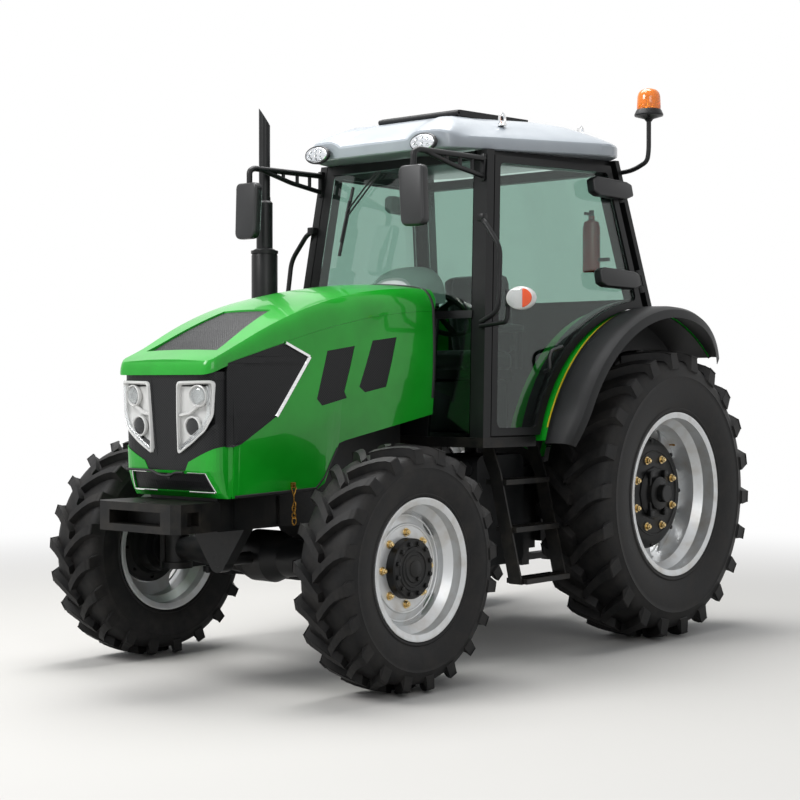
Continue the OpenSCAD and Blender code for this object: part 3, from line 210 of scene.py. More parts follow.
# %% Metals
# Wheels: a soft silver that turns beige where dust lies
silver_lacquer = surface("silver_flake_lacquer", "#c4c6c7", 0.38, 0.09, 6.0, ("#cfd1d2", "#b3aea6"), (0.45, 0.85),
                         grain=(NOISE, {"Scale": 1 / 0.0025, "Detail": 1.0}, 0.0001, 0.3),
                         Metallic=0.55, Coat_Weight=0.3)


def plated(name, light, dark, roughness):
    """A bare or plated metal, with fine handling marks about 20 mm long."""
    return surface(name, light, roughness, 0.02, 5.0, (dark, light), shine=(roughness * 0.7, roughness * 1.5),
                   stretch=(1, 1, 4), Metallic=1.0)


zinc = plated("yellow_zinc_plate", "#e3cf9f", "#bfa066", 0.3)  # straw gold, dull at the edges
chrome = plated("chrome_plate", "#ececec", "#d9dadb", 0.09)  # white, sharp reflections
steel = plated("bright_steel", "#b5b5b4", "#8f8f8e", 0.32)  # grey and streaky
mirror_silver = plated("silvered_mirror", "#f0f2f2", "#e8eaea", 0.03)  # shows only what it faces
bowl_metal = plated("vacuum_metallised_bowl", "#e9ebee", "#cfd3d8", 0.16)  # bright, a little blue
brass = plated("brass", "#a8803c", "#7a5522", 0.35)  # brown gold, tarnished
print("metals:", zinc.name, chrome.name, steel.name, bowl_metal.name, brass.name)

# %% [markdown]
# Cab windows are toughened glass with a green tint. Thin panes let light through in a straight line, so most
# of the pane is clear with a faint colour, and a film of dust makes the reflections a little broader.

# %% Glass and lenses
def glassy(name, tint, roughness, transmission, ior):
    return surface(name, tint, roughness, 0.3, 5.0, shine=(roughness, roughness + 0.03),
                   Transmission_Weight=transmission, IOR=ior)


tinted_glass = glassy("green_tinted_toughened_glass", "#b4cbc2", 0.0, 1.0, 1.45)  # cool bottle green
clear_lens = glassy("clear_polycarbonate", "#f2f5f6", 0.02, 0.9, 1.58)  # water clear, sparkling
amber_lens = glassy("amber_polycarbonate", "#ff8a12", 0.06, 0.45, 1.58)  # glowing orange yellow
orange_lens = glassy("orange_polycarbonate", "#ff5a0c", 0.06, 0.35, 1.58)  # a deeper orange
smoked_lens = glassy("smoked_polycarbonate", "#191b1e", 0.05, 0.3, 1.58)  # dark, glossy
print("glass:", tinted_glass.name, clear_lens.name, amber_lens.name)

# %% [markdown]
# The roof cap and trims are moulded: silver-grey ABS for the roof, soft black rubber for seals, a pale cowl
# over the instruments. The mould's own grain shows as a fine relief of cells.

# %% Mouldings
def moulded(name, light, dark, roughness, grain_mm, depth_mm=0.05, coat=0.0):
    return surface(name, light, roughness, 0.2, 4.0, (dark, light), shine=(roughness * 0.85, roughness * 1.2),
                   grain=(CELLS, {"Scale": 1000 / grain_mm}, depth_mm * MM, 0.4),
                   IOR=1.5, Coat_Weight=coat, Coat_Roughness=0.1)


roof_plastic = moulded("silver_grey_abs", "#9fa6ac", "#979ea5", 0.3, 2.0, 0.02, 0.5)  # cool pale grey, glossy
bezel_plastic = moulded("satin_silver_abs", "#dadad8", "#cdcdcb", 0.25, 2.0, 0.02, 0.6)  # whitish silver
cowl_plastic = moulded("pale_grey_abs", "#c8cfcc", "#b8c0bd", 0.5, 1.6)  # matt, greenish grey
soft_rubber = moulded("soft_black_rubber", "#1a1a1b", "#121213", 0.6, 1.5)  # dull black
trim_plastic = moulded("black_nylon", "#17181a", "#0f1011", 0.4, 1.2)  # black with a soft shine
yellow_enamel = moulded("yellow_enamel", "#d8c021", "#ccb41c", 0.3, 3.0, 0.02, 0.5)  # strong lemon yellow
red_enamel = moulded("red_enamel", "#b3140f", "#9c0f0c", 0.25, 3.0, 0.02, 0.8)  # signal red, wet
print("mouldings:", roof_plastic.name, bezel_plastic.name, cowl_plastic.name)

# %% [markdown]
# The screens are perforated black steel, with the holes drawn coarser than life so that they show. The holes
# are laid out on the plane that each part of the screen faces most: side, top or front.

# %% Perforated screen
HOLE_PITCH = 0.009
screen_steel, tree, shader = start_finish("perforated_black_steel", "#1c1d1f", 0.45, IOR=1.5,
                                          Specular_IOR_Level=0.25)
# A dark grey sheet, pricked with rows of black points
place = add_node(tree, "ShaderNodeTexCoord").outputs
spot = add_node(tree, "ShaderNodeSeparateXYZ", {0: place["Object"]}).outputs
facing = add_node(tree, "ShaderNodeVectorMath", {0: place["Normal"]}, operation="ABSOLUTE")
part = add_node(tree, "ShaderNodeSeparateXYZ", {0: facing}).outputs
not_x = add_node(tree, "ShaderNodeMath", {0: part["Y"], 1: part["Z"]}, operation="MAXIMUM")
not_z = add_node(tree, "ShaderNodeMath", {0: part["X"], 1: part["Y"]}, operation="MAXIMUM")
is_side = add_node(tree, "ShaderNodeMath", {0: part["X"], 1: not_x}, operation="GREATER_THAN")
is_top = add_node(tree, "ShaderNodeMath", {0: part["Z"], 1: not_z}, operation="GREATER_THAN")
across = add_node(tree, "ShaderNodeMix", {"Factor": is_side, "A": spot["X"], "B": spot["Y"]})
upward = add_node(tree, "ShaderNodeMix", {"Factor": is_top, "A": spot["Z"], "B": spot["Y"]})
flat = add_node(tree, "ShaderNodeCombineXYZ", {"X": across, "Y": upward})
turned = add_node(tree, "ShaderNodeMapping", {"Vector": flat, "Rotation": (0, 0, radians(45))})
holes = add_node(tree, CELLS, {"Vector": turned, "Scale": 1 / HOLE_PITCH, "Randomness": 0.0},
                 voronoi_dimensions="2D")
solid = add_node(tree, "ShaderNodeMapRange", {"Value": holes, "From Min": 0.30, "From Max": 0.42})
tone = add_node(tree, "ShaderNodeMix", {0: solid, 6: linear("#030303"), 7: linear("#1f2022")}, data_type="RGBA")
relief = add_node(tree, "ShaderNodeBump", {"Height": holes, "Distance": 0.0015, "Strength": 0.8})
wire(tree, shader, {"Base Color": tone.outputs[2], "Normal": relief})
print("screen pitch", HOLE_PITCH * 1000, "mm")

# %% [markdown]
# The seat is covered in a woven polyester: two sets of threads crossing about every 3 mm, drawn by two bands.

# %% Seat cloth
THREAD = 0.003
seat_cloth, tree, shader = start_finish("woven_polyester", "#202124", 0.85, Sheen_Weight=0.35, Sheen_Roughness=0.5)
# Charcoal, with a light bloom at the edges and a weave that shows from close by
place = add_node(tree, "ShaderNodeTexCoord").outputs["Object"]
warp, weft = [add_node(tree, "ShaderNodeTexWave", {"Vector": place, "Scale": pi / 10 / THREAD, "Distortion": 0.6},
                       bands_direction=direction).outputs["Fac"] for direction in ("X", "DIAGONAL")]
cross = add_node(tree, "ShaderNodeMath", {0: warp, 1: weft}, operation="MULTIPLY")
share = add_node(tree, "ShaderNodeMapRange", {"Value": cross, "From Min": 0.1, "From Max": 0.7})
tone = add_node(tree, "ShaderNodeMix", {0: share, 6: linear("#161719"), 7: linear("#2b2d31")}, data_type="RGBA")
relief = add_node(tree, "ShaderNodeBump", {"Height": cross, "Distance": 0.0005, "Strength": 0.5})
wire(tree, shader, {"Base Color": tone.outputs[2], "Normal": relief})
print(seat_cloth.name)

# %% [markdown]
# ## Shaping helpers
# Every new piece ends the same way: its mesh goes to an object at the origin, gets its finish, rides on a
# body of the frame and, where it is the better version of a CAD node, stands in for that node.

# %% Finish a piece
def finish_piece(name, shape, finish, body, stands_for=(), crease=35):
    mesh = bpy.data.meshes.new(name)
    shape.to_mesh(mesh)
    shape.free()
    mesh.shade_smooth()
    mesh.set_sharp_from_angle(angle=radians(crease))
    mesh.materials.append(finish)
    piece = bpy.data.objects.new(name, mesh)
    scene.collection.objects.link(piece)
    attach(piece, body)
    if stands_for:
        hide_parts(*stands_for)
    return piece


def clean(shape):
    bmesh.ops.remove_doubles(shape, verts=shape.verts, dist=1e-5)
    bmesh.ops.recalc_face_normals(shape, faces=shape.faces)
    return shape


def joined(*shapes):
    """One bmesh from several, which are used up."""
    whole = bmesh.new()
    for shape in shapes:
        part = bpy.data.meshes.new("part")
        shape.to_mesh(part)
        shape.free()
        whole.from_mesh(part)
        bpy.data.meshes.remove(part)
    return whole


def moved(shape, matrix):
    bmesh.ops.transform(shape, matrix=matrix, verts=shape.verts)
    if matrix.determinant() < 0:
        bmesh.ops.reverse_faces(shape, faces=shape.faces)
    return shape


def mirrored(shape):
    """The same shape on the other side of the tractor."""
    return moved(shape.copy(), Matrix.Scale(-1, 4, (1, 0, 0)))


def both_sides(name, shape, finish, body, stands_for=()):
    """One piece from a left-hand shape, which is used up, and its mirror image."""
    piece = finish_piece(name, joined(shape.copy(), mirrored(shape)), finish, body, stands_for)
    shape.free()
    return piece


print("a piece is finished in one call")

# %% [markdown]
# Five basic shapes do most of the work: a profile spun round an axle, a flat outline given thickness, a block
# with softened edges, a tube bent through points, and a skin stretched over rows of points as over the ribs
# of a boat.

# %% Spun, plate, block, tube and loft
def soften(shape, edges, offset, segments):
    bmesh.ops.bevel(shape, geom=edges, offset=offset, segments=segments, affect="EDGES", profile=0.5, material=-1)


def spun(profile, steps=72):
    """A profile of (radius, distance along the axle) in millimetres, spun round the X axis."""
    shape = bmesh.new()
    points = [shape.verts.new((a * MM, 0, r * MM)) for r, a in profile]
    edges = [shape.edges.new(pair) for pair in zip(points, points[1:] + points[:1])]
    bmesh.ops.spin(shape, geom=points + edges, cent=(0, 0, 0), axis=(1, 0, 0), angle=2 * pi, steps=steps,
                   use_merge=True)
    return clean(shape)


def plate(outline, thickness, bevel, segments=2):
    """A flat outline of (x, y) in millimetres in the XY plane, raised by a thickness."""
    shape = bmesh.new()
    face = shape.faces.new([shape.verts.new((x * MM, y * MM, 0)) for x, y in outline])
    raised = bmesh.ops.extrude_face_region(shape, geom=[face])
    tops = [g for g in raised["geom"] if isinstance(g, bmesh.types.BMVert)]
    bmesh.ops.translate(shape, verts=tops, vec=(0, 0, thickness * MM))
    bmesh.ops.recalc_face_normals(shape, faces=shape.faces)
    soften(shape, shape.edges[:], bevel * MM, segments)
    return shape


def block(low, high, bevel, segments=2):
    """A box between two corners in metres, with softened edges."""
    shape = bmesh.new()
    low, high = Vector(low), Vector(high)
    size = Matrix.Diagonal((*(high - low), 1))
    bmesh.ops.create_cube(shape, size=1, matrix=Matrix.Translation((low + high) / 2) @ size)
    soften(shape, shape.edges[:], bevel * MM, segments)
    return shape


def rounded_path(points, radius, steps=6):
    """Corners of a path in metres, each replaced by an arc-like curve."""
    path = [Vector(points[0])]
    for before, corner, after in zip(points, points[1:], points[2:]):
        before, corner, after = Vector(before), Vector(corner), Vector(after)
        reach = min(radius, (corner - before).length * 0.45, (after - corner).length * 0.45)
        start = corner + (before - corner).normalized() * reach
        end = corner + (after - corner).normalized() * reach
        for k in range(steps + 1):
            t = k / steps
            path.append(start * (1 - t) ** 2 + corner * 2 * t * (1 - t) + end * t ** 2)
    return path + [Vector(points[-1])]


def tube(path, radius, sides=16):
    """A round tube along a path in metres, capped at both ends."""
    shape = bmesh.new()
    across = None
    rings = []
    for k, point in enumerate(path):
        ahead = (path[min(k + 1, len(path) - 1)] - path[max(k - 1, 0)]).normalized()
        if across is None:
            across = ahead.orthogonal().normalized()
        across = (across - ahead * across.dot(ahead)).normalized()
        turn = Matrix((across, ahead.cross(across), ahead)).transposed().to_4x4()
        ring = bmesh.ops.create_circle(shape, segments=sides, radius=radius,
                                       matrix=Matrix.Translation(point) @ turn)["verts"]
        rings.append([e for e in shape.edges if e.verts[0] in ring and e.verts[1] in ring])
    for one, other in zip(rings, rings[1:]):
        bmesh.ops.bridge_loops(shape, edges=one + other)
    bmesh.ops.contextual_create(shape, geom=rings[0])
    bmesh.ops.contextual_create(shape, geom=rings[-1])
    return clean(shape)


def loft(shape, rows, closed=False, caps=()):
    """Faces between rows of positions in metres; closed rows meet their own ends, and caps fill some rows."""
    loops = [[shape.verts.new(point) for point in row] for row in rows]
    for one, other in zip(loops, loops[1:]):
        for k in range(len(one) if closed else len(one) - 1):
            j = (k + 1) % len(one)
            shape.faces.new((one[k], one[j], other[j], other[k]))
    for row in caps:
        shape.faces.new(loops[row])
    return loops


def lofted(rows, caps):
    """A shape of its own from closed rows."""
    shape = bmesh.new()
    loft(shape, rows, True, caps)
    bmesh.ops.recalc_face_normals(shape, faces=shape.faces)
    return shape


def hem(shape, edges, fold):
    """Turns the edges of a sheet over by a move in metres."""
    turned = bmesh.ops.extrude_edge_only(shape, edges=edges)["geom"]
    bmesh.ops.translate(shape, verts=[g for g in turned if isinstance(g, bmesh.types.BMVert)], vec=fold)


print("five basic shapes ready")

# %% [markdown]
# ## Tyres
# A traction tyre is a smooth carcass with two rows of curved bars that meet in a V. The point of the V runs
# ahead, so it bites first. One bar is a cube cut into slices, whose slices are then laid on the tread; the
# rest are copies turned round the axle. A carcass spun from a half outline with a rim guard and a wear ring
# completes it.

# %% One bar of the tread
# Slices from the middle of the tread to the sidewall: share of the half width, then in millimetres the drop of the
# top, the drop of the foot, the run behind the point, and the widths of top and foot
BAR_SLICES = [(-0.07, 0, 44, 0, 36, 62), (0.17, 0, 44, 46, 38, 64), (0.40, 2, 45, 86, 40, 66),
              (0.62, 6, 48, 118, 42, 70), (0.82, 12, 54, 138, 46, 78), (0.965, 22, 66, 150, 52, 92),
              (1.005, 92, 108, 158, 70, 104)]
TOE_TUCK = 16


def tread_bar(radius, half_width, size):
    shape = bmesh.new()
    bmesh.ops.create_cube(shape, size=1)
    lengthwise = [e for e in shape.edges if abs(e.verts[0].co.x - e.verts[1].co.x) > 0.5]
    bmesh.ops.subdivide_edges(shape, edges=lengthwise, cuts=len(BAR_SLICES) - 2)
    crown_edges = [e for e in shape.edges if all(v.co.z > 0 for v in e.verts)]
    for vert in shape.verts:
        share, top, foot, run, top_w, foot_w = BAR_SLICES[round((vert.co.x + 0.5) * (len(BAR_SLICES) - 1))]
        is_top = vert.co.z > 0
        r = radius - (top if is_top else foot) * size
        a = share * half_width - (0 if is_top or share < 0.9 else TOE_TUCK * size)
        angle = (-run + vert.co.y * (top_w if is_top else foot_w)) * size / radius
        vert.co = Vector((a, -r * sin(angle), r * cos(angle))) * MM
    soften(shape, crown_edges, 4 * MM * size, 1)
    bmesh.ops.recalc_face_normals(shape, faces=shape.faces)
    return shape


print("bar slices:", len(BAR_SLICES))

# %% [markdown]
# Front and rear tyres differ in outline, width and number of bars, so one function builds both. Its bars
# alternate left and right by half a pitch, as on the real tread.

# %% Tyre from carcass and bars
def whole_tyre(half, radius, half_width, bars, size):
    carcass = spun(half + [(r, -a) for r, a in reversed(half[:-1])], steps=96)
    row = []
    one = tread_bar(radius, half_width, size)
    for k in range(bars):
        row.append(moved(one.copy(), Matrix.Rotation(2 * pi * k / bars, 4, "X")))
        row.append(moved(mirrored(one), Matrix.Rotation(2 * pi * (k + 0.5) / bars, 4, "X")))
    one.free()
    return joined(carcass, *row)


# Outlines of (radius, half width) from the rim to the middle of the tread
FRONT_HALF = [(305, 132), (331, 132), (337, 139), (345, 142), (352, 138), (382, 148), (420, 155), (450, 157),
              (462, 157), (466, 159), (471, 157), (488, 153), (508, 145), (522, 130), (529, 104),
              (533, 60), (534, 0)]
REAR_HALF = [(432, 183), (458, 183), (465, 190), (476, 194), (485, 189), (530, 202), (585, 211), (630, 214),
             (652, 214), (657, 217), (663, 214), (692, 208), (720, 197), (740, 178), (752, 142),
             (758, 80), (760, 0)]
WHEELS = {"front_left": (0.854, FRONT_AXLE), "front_right": (-0.854, FRONT_AXLE),
          "rear_left": (0.796, REAR_AXLE), "rear_right": (-0.796, REAR_AXLE)}
# Outline, radius and half width over the bars, number of bars in a row, and their size
TYRES = {"front": (FRONT_HALF, 573, 157.5, 20, 0.88), "rear": (REAR_HALF, 808, 214.5, 22, 1.12)}
for wheel, (x, axle) in WHEELS.items():
    shape = whole_tyre(*TYRES[wheel.split("_")[0]])
    moved(shape, Matrix.Translation((x, axle.y, axle.z)))
    tyre = finish_piece(wheel + "_lugged_tyre", shape, tyre_rubber, wheel + "_wheel",
                        [wheel + "_tyre"])
    print(tyre.name, len(tyre.data.polygons), "faces")

# %% [markdown]
# ## Finishes on the CAD pieces
# Most castings, frames and panes keep the shape they have in CAD and only get their finish: enamel on the
# pressed panels, satin black on the cab, worn paint where boots and chains rub, and painted castings below.

# %% Paint the nodes
PAINTED = {
    green_enamel: ["hood_sides", "nose_panel", "fenders"],
    cab_paint: ["cab_frame", "left_door", "right_door", "hood_support"],
    worn_paint: ["weight_carrier", "steps", "drawbar", "lower_links", "lift_arms", "lift_rods", "cab_floor"],
    casting: ["front_support", "engine_block", "gearbox_housing", "rear_axle_housing", "front_axle",
              "left_knuckle", "right_knuckle", "tie_rod",
              "front_left_hub", "front_right_hub", "rear_left_hub", "rear_right_hub"],
    grained_plastic: ["side_tanks", "dash_console", "steering_wheel", "roof_hatch"],
    silver_lacquer: ["front_left_rim", "front_right_rim", "rear_left_rim", "rear_right_rim"],
    tinted_glass: ["cab_windows", "left_door_glass", "right_door_glass"],
    screen_steel: ["hood_screens"],
    steel: ["pto_shaft"],
}
for finish, painted in PAINTED.items():
    for node in painted:
        nodes[node].data.materials.clear()
        nodes[node].data.materials.append(finish)
print("painted:", sum(len(painted) for painted in PAINTED.values()))

# %% [markdown]
# ## Wheel bolts and hubs
# Each front wheel hangs on eight plated nuts round a planetary hub, whose cover has its own ring of small
# bolts. The rear disc carries eight nuts in dark seats and eight more where it meets the lugs of the rim. One
# nut is a hexagon raised by its height, with the stud through it, and the others stand at equal turns round
# the axle.

# %% Nuts
def oval(half_x, half_y, steps=40):
    return [(half_x * cos(2 * pi * k / steps), half_y * sin(2 * pi * k / steps)) for k in range(steps)]


def round_outline(radius, steps=24):
    return oval(radius, radius, steps)


def hexagon(radius):
    return oval(radius, radius, 6)


OUTWARD = Matrix.Rotation(pi / 2, 4, "Y")


def on_axle(shape, radius, angle, face):
    """Stands a flat shape on a wheel face: at a radius and an angle, its height pointing outward."""
    moved(shape, Matrix.Translation((face * MM, 0, radius * MM)) @ OUTWARD)
    return moved(shape, Matrix.Rotation(radians(angle), 4, "X"))


def stud_nut(size):
    washer = plate(round_outline(1.35 * size), 3, 0.6, 1)
    nut = moved(plate(hexagon(size), 0.95 * size, 0.09 * size), Matrix.Translation((0, 0, 3 * MM)))
    stud = plate(round_outline(0.55 * size, 16), 0.7 * size, 1.2, 1)
    return joined(washer, nut, moved(stud, Matrix.Translation((0, 0, 0.9 * size * MM))))


def nut_ring(count, radius, face, size, first):
    return joined(*[on_axle(stud_nut(size), radius, first + k * 360 / count, face) for k in range(count)])


def on_wheel(wheel, name, shape, finish):
    """Puts a shape made for a left wheel on any of the four."""
    x, axle = WHEELS[wheel]
    if x < 0:
        shape = mirrored(shape)
    moved(shape, Matrix.Translation((x, axle.y, axle.z)))
    return finish_piece(wheel + name, shape, finish, wheel + "_wheel")


# Radius of the ring, face that the nuts stand on, their size, and the angle of the first
NUTS = {"front": (166, 40.3, 15, 0), "rear": (200, 45.3, 17, 22.5)}
for wheel in WHEELS:
    on_wheel(wheel, "_nuts", nut_ring(8, *NUTS[wheel.split("_")[0]]), zinc)
print("nuts on four wheels")

# %% [markdown]
# The planetary cover is a casting turned in steps, with twelve bolt heads sunk in pockets and a drain plug.
# The front disc has a pressed bead round the nuts. The rear hub is clamped to a bar by two long bolts.

# %% Hub covers, beads and valves
def bead(radius, face, half):
    arc = [(radius + half * cos(pi * k / 8), face + half * sin(pi * k / 8)) for k in range(9)]
    return spun(arc, steps=96)


def valve(radius, angle, face):
    stem = plate(round_outline(5, 12), 34, 1, 1)
    cap = moved(plate(round_outline(7, 12), 16, 1.5, 1), Matrix.Translation((0, 0, 20 * MM)))
    return on_axle(joined(stem, cap), radius, angle, face)


for wheel in WHEELS:
    if wheel.startswith("front"):
        cover = [spun([(0, 104), (34, 104), (40, 100), (40, 97), (0, 97)], 48), bead(82, 92.6, 5),
                 bead(136, 79.5, 4)]
        for k in range(12):
            cover.append(on_axle(plate(round_outline(16), 2, 0.5, 1), 118, 15 + 30 * k, 87.7))
            cover.append(on_axle(plate(hexagon(11.5), 10, 1.1), 118, 15 + 30 * k, 88.5))
        cover.append(on_axle(plate(hexagon(12), 10, 1.2), 51, 200, 97.5))
        on_wheel(wheel, "_hub_cover", joined(*cover), casting)
        beads = joined(bead(203, 38.5, 7), bead(246, 25.5, 5))
        on_wheel(wheel, "_disc_bead", beads, silver_lacquer)
        on_wheel(wheel, "_valve", valve(262, 140, 20), brass)
    else:
        dish = spun([(0, -8), (304, -8), (309, 0), (306, 14), (282, 36), (264, 43), (0, 43)], 96)
        seats = [on_axle(plate(round_outline(30), 2, 0.6, 1), 200, 22.5 + 45 * k, 43) for k in range(8)]
        seats += [bead(236, 42.5, 5), spun([(0, 40), (150, 40), (150, 50), (138, 58), (0, 58)], 12),
                  spun([(0, 56), (94, 56), (92, 84), (80, 92), (0, 92)], 48),
                  spun([(0, 90), (50, 90), (50, 128), (45, 132), (0, 132)], 40)]
        seats += [on_axle(plate(hexagon(13), 10, 1.2), 292, 45 * k, 24) for k in range(8)]
        on_wheel(wheel, "_disc", joined(dish, *seats), casting)
        rods = []
        for y in (-0.074, 0.074):
            rods.append(tube([Vector((0.066, y, -0.128)), Vector((0.066, y, 0.128))], 0.0085, 12))
            rods += [block((0.058, y - 0.02, z - 0.016), (0.082, y + 0.02, z + 0.016), 3) for z in (-0.11, 0.11)]
        on_wheel(wheel, "_clamp_bolts", joined(*rods), casting)
        on_wheel(wheel, "_valve", valve(392, -48, -30), brass)
print("hub covers, beads, clamp bolts and valves")

# %% [markdown]
# ## Hood panel
# The real hood top is one pressing: a nearly flat panel that ends in a crease, and a shoulder band that rolls
# down from there to the groove and runs round the front as a thick lip. Pressed from one sheet it would be
# drawn over a punch, so it is built the same way: one loop for the groove, one for the crease, a rolled band
# between, a panel inside.

# %% Sizes along the hood
HOOD_FRONT, HOOD_REAR, LIP_R, LIP_INSET = -700, 801, 58, 12
ROLL = radians(62)
WINDOW_FRONT, WINDOW_REAR = -577, -139
REAR_LEAN = 60


def hood_lean(y, rise):
    """How far the rear of the hood leans back at a share of its rise."""
    return REAR_LEAN * max(min(y, HOOD_REAR) / HOOD_REAR, 0) ** 2 * rise


def hood_sizes(y):
    """Share of the length, half width, groove height and crown height at a distance from the front axle."""
    s = min(max((y - HOOD_FRONT) / (HOOD_REAR - HOOD_FRONT), 0), 1)
    half = max(305 + 110 * (1 - (1 - s) ** 1.8), 326)
    groove = 891 + 331 * (1 - (1 - s) ** 1.75)
    crown = 925 + 447 * (1 - (1 - s) ** 2.2) + 34 * (1 - min(s / 0.16, 1)) ** 2
    return s, half, groove, crown


def crease_height(y):
    s, half, groove, crown = hood_sizes(y)
    return groove + (0.90 - 0.12 * s) * (crown - groove)


WINDOW = WINDOW_REAR - WINDOW_FRONT
SIDE_Y = ([-615] + [WINDOW_FRONT + WINDOW * k / 10 for k in range(11)]
          + [WINDOW_REAR + (HOOD_REAR - WINDOW_REAR) * k / 18 for k in range(1, 19)])
half_front = hood_sizes(HOOD_FRONT)[1] - LIP_R
rim = [(half_front * k / 6, HOOD_FRONT, 0, -1) for k in range(6)]
for k in range(9):
    turn = pi / 16 * k
    rim.append((half_front + LIP_R * sin(turn), HOOD_FRONT + LIP_R - LIP_R * cos(turn), sin(turn), -cos(turn)))
rim += [(hood_sizes(y)[1], y, 1, 0) for y in SIDE_Y]
print("rim points on one side:", len(rim))

# %% [markdown]
# The band is lofted from the flange in the groove up to the crease, and mirrored. The panel inside is lofted
# from front to rear, and the window for the top screen is left out and gets a wall.

# %% Rolled band and panel
def band_row(share):
    """One loop of the band, from the groove (0) to the crease (1)."""
    roll = ROLL * share
    row = []
    for x, y, out_x, out_y in rim:
        s, half, groove, crown = hood_sizes(y)
        inset = LIP_INSET + (0.163 * half - LIP_INSET) * s
        inward = inset * (1 - cos(roll)) / (1 - cos(ROLL))
        z = groove + (crease_height(y) - groove) * sin(roll) / sin(ROLL)
        back = hood_lean(y, (z - groove) / (crown - groove))
        row.append((x - out_x * inward, y - out_y * inward + back, z))
    return row


panel = bmesh.new()
flange = [(x - ox * 40, y - oy * 40, hood_sizes(y)[2] + 3) for x, y, ox, oy in rim]
rows = [flange] + [band_row(k / 6) for k in range(7)]
loft(panel, [[from_front(*point) for point in row] for row in rows])
panel = joined(mirrored(panel), panel)

lines, line_y = [], []
for x, y, z in band_row(1)[5:]:
    s, half, groove, crown = hood_sizes(y)
    # half width of the window, and shares of the panel from there to the crease
    c = min(243 - 81 * min(max((y - WINDOW_FRONT) / WINDOW, 0), 1), 0.8 * x)
    outer = [c, 0.3 * x + 0.7 * c, 0.65 * x + 0.35 * c, x]
    line = []
    for u in [-u for u in reversed(outer)] + [-0.5 * c, 0, 0.5 * c] + outer:
        high = z + (crown - z) * (1 - (u / x) ** 2)
        line.append(from_front(u, y + hood_lean(y, (high - z) / (crown - groove)), high))
    lines.append(line)
    line_y.append(y)
lines = loft(panel, lines)
window = []
for y, y1, one, other in zip(line_y, line_y[1:], lines, lines[1:]):
    if y > WINDOW_FRONT - 1 and y1 < WINDOW_REAR + 1:
        window += [panel.faces.get((one[k], one[k + 1], other[k + 1], other[k])) for k in range(3, 7)]
bmesh.ops.delete(panel, geom=window, context="FACES")
clean(panel)


def at_window(vert):
    return abs(vert.co.x) < 0.25 and vert.co.y < -1.25 and vert.co.z > 1.5


hem(panel, [e for e in panel.edges if e.is_boundary and all(at_window(v) for v in e.verts)], (0, 0, -0.022))
lugs = [block((x, -0.362, 1.870), (x + 0.016, -0.298, 1.925), 3) for x in (-0.191, 0.175)]
hood_panel = finish_piece("hood_panel", joined(panel, *lugs), green_enamel, "hood", ["hood_top"],
                          crease=16)
print("hood panel:", len(hood_panel.data.polygons), "faces")

# %% [markdown]
# ## Trim on the hood
# Strips, seals and lamps lie on the pressed panels, so the panels themselves say where they go: a ray sent
# from the side or the front meets the sheet, and the trim is laid there along the sheet's own normal.

# %% Points on the sheet metal
def skin_of(*meshes):
    whole = bmesh.new()
    for mesh in meshes:
        whole.from_mesh(mesh)
    skin = BVHTree.FromBMesh(whole)
    whole.free()
    return skin


hood_skin = skin_of(hood_panel.data, *[nodes[name].data for name in ("hood_sides", "hood_screens", "nose_panel")])


def laid(skin, starts, direction):
    """Where rays meet a skin: a list of (point, normal), the normals facing the rays."""
    found = []
    for start in starts:
        point, normal = skin.ray_cast(Vector(start), Vector(direction))[:2]
        if point is not None:
            found.append((point, normal if normal.dot(Vector(direction)) < 0 else -normal))
    return found


def along(corners, step=20):
    """Points every few millimetres along a polyline of (u, v)."""
    dense = []
    for (u0, v0), (u1, v1) in zip(corners, corners[1:]):
        count = max(1, round(sqrt((u1 - u0) ** 2 + (v1 - v0) ** 2) / step))
        dense += [(u0 + (u1 - u0) * k / count, v0 + (v1 - v0) * k / count) for k in range(count)]
    return dense + [corners[-1]]


def trim(path, width, height, sink=1.5):
    """A strip with rounded shoulders along (point, normal) pairs, width and height in millimetres."""
    half = [(0.5, -sink), (0.5, 0.5 * height), (0.3, height)]
    section = [(-a, h) for a, h in half] + half[::-1]
    rows = []
    for k, (point, normal) in enumerate(path):
        ahead = (path[min(k + 1, len(path) - 1)][0] - path[max(k - 1, 0)][0]).normalized()
        across = normal.cross(ahead).normalized()
        rows.append([point + across * a * width * MM + normal * h * MM for a, h in section])
    return lofted(rows, (0, -1))


FROM_LEFT, FROM_FRONT = (-1, 0, 0), (0, 1, 0)


def on_side(y, z):
    """The hood's left side at a place: a list of one (point, normal), or of none beside the sheet."""
    return laid(hood_skin, [from_front(700, y, z)], FROM_LEFT)


print("hood skin ready")

# %% [markdown]
# The screens at the sides run round the corner into the grille without a joint. One patch per side is laid
# over both: every row starts on the side of the nose and ends at the slanted edge, and lies on the sheet in
# between. Below it, a green cover closes the corner where the nose meets the side panel.

# %% Side screens
# Edges of the patch as (z, y) from the front axle
SCREEN_LOW, SCREEN_HIGH, SCREEN_FRONT = 560, 1042, -592
SCREEN_LEFT = [(SCREEN_LOW, SCREEN_FRONT), (905, SCREEN_FRONT), (944, -585), (SCREEN_HIGH, -249)]
SCREEN_RIGHT = [(SCREEN_LOW, -566), (572, -517), (696, -306), (978, -94), (SCREEN_HIGH, -249)]
NOSE_SIDE = 0.3186


def read_off(table, z):
    """The y of a polyline of (z, y) at a height."""
    for (z0, y0), (z1, y1) in zip(table, table[1:]):
        if z <= z1:
            return y0 + (y1 - y0) * (z - z0) / (z1 - z0)
    return table[-1][1]


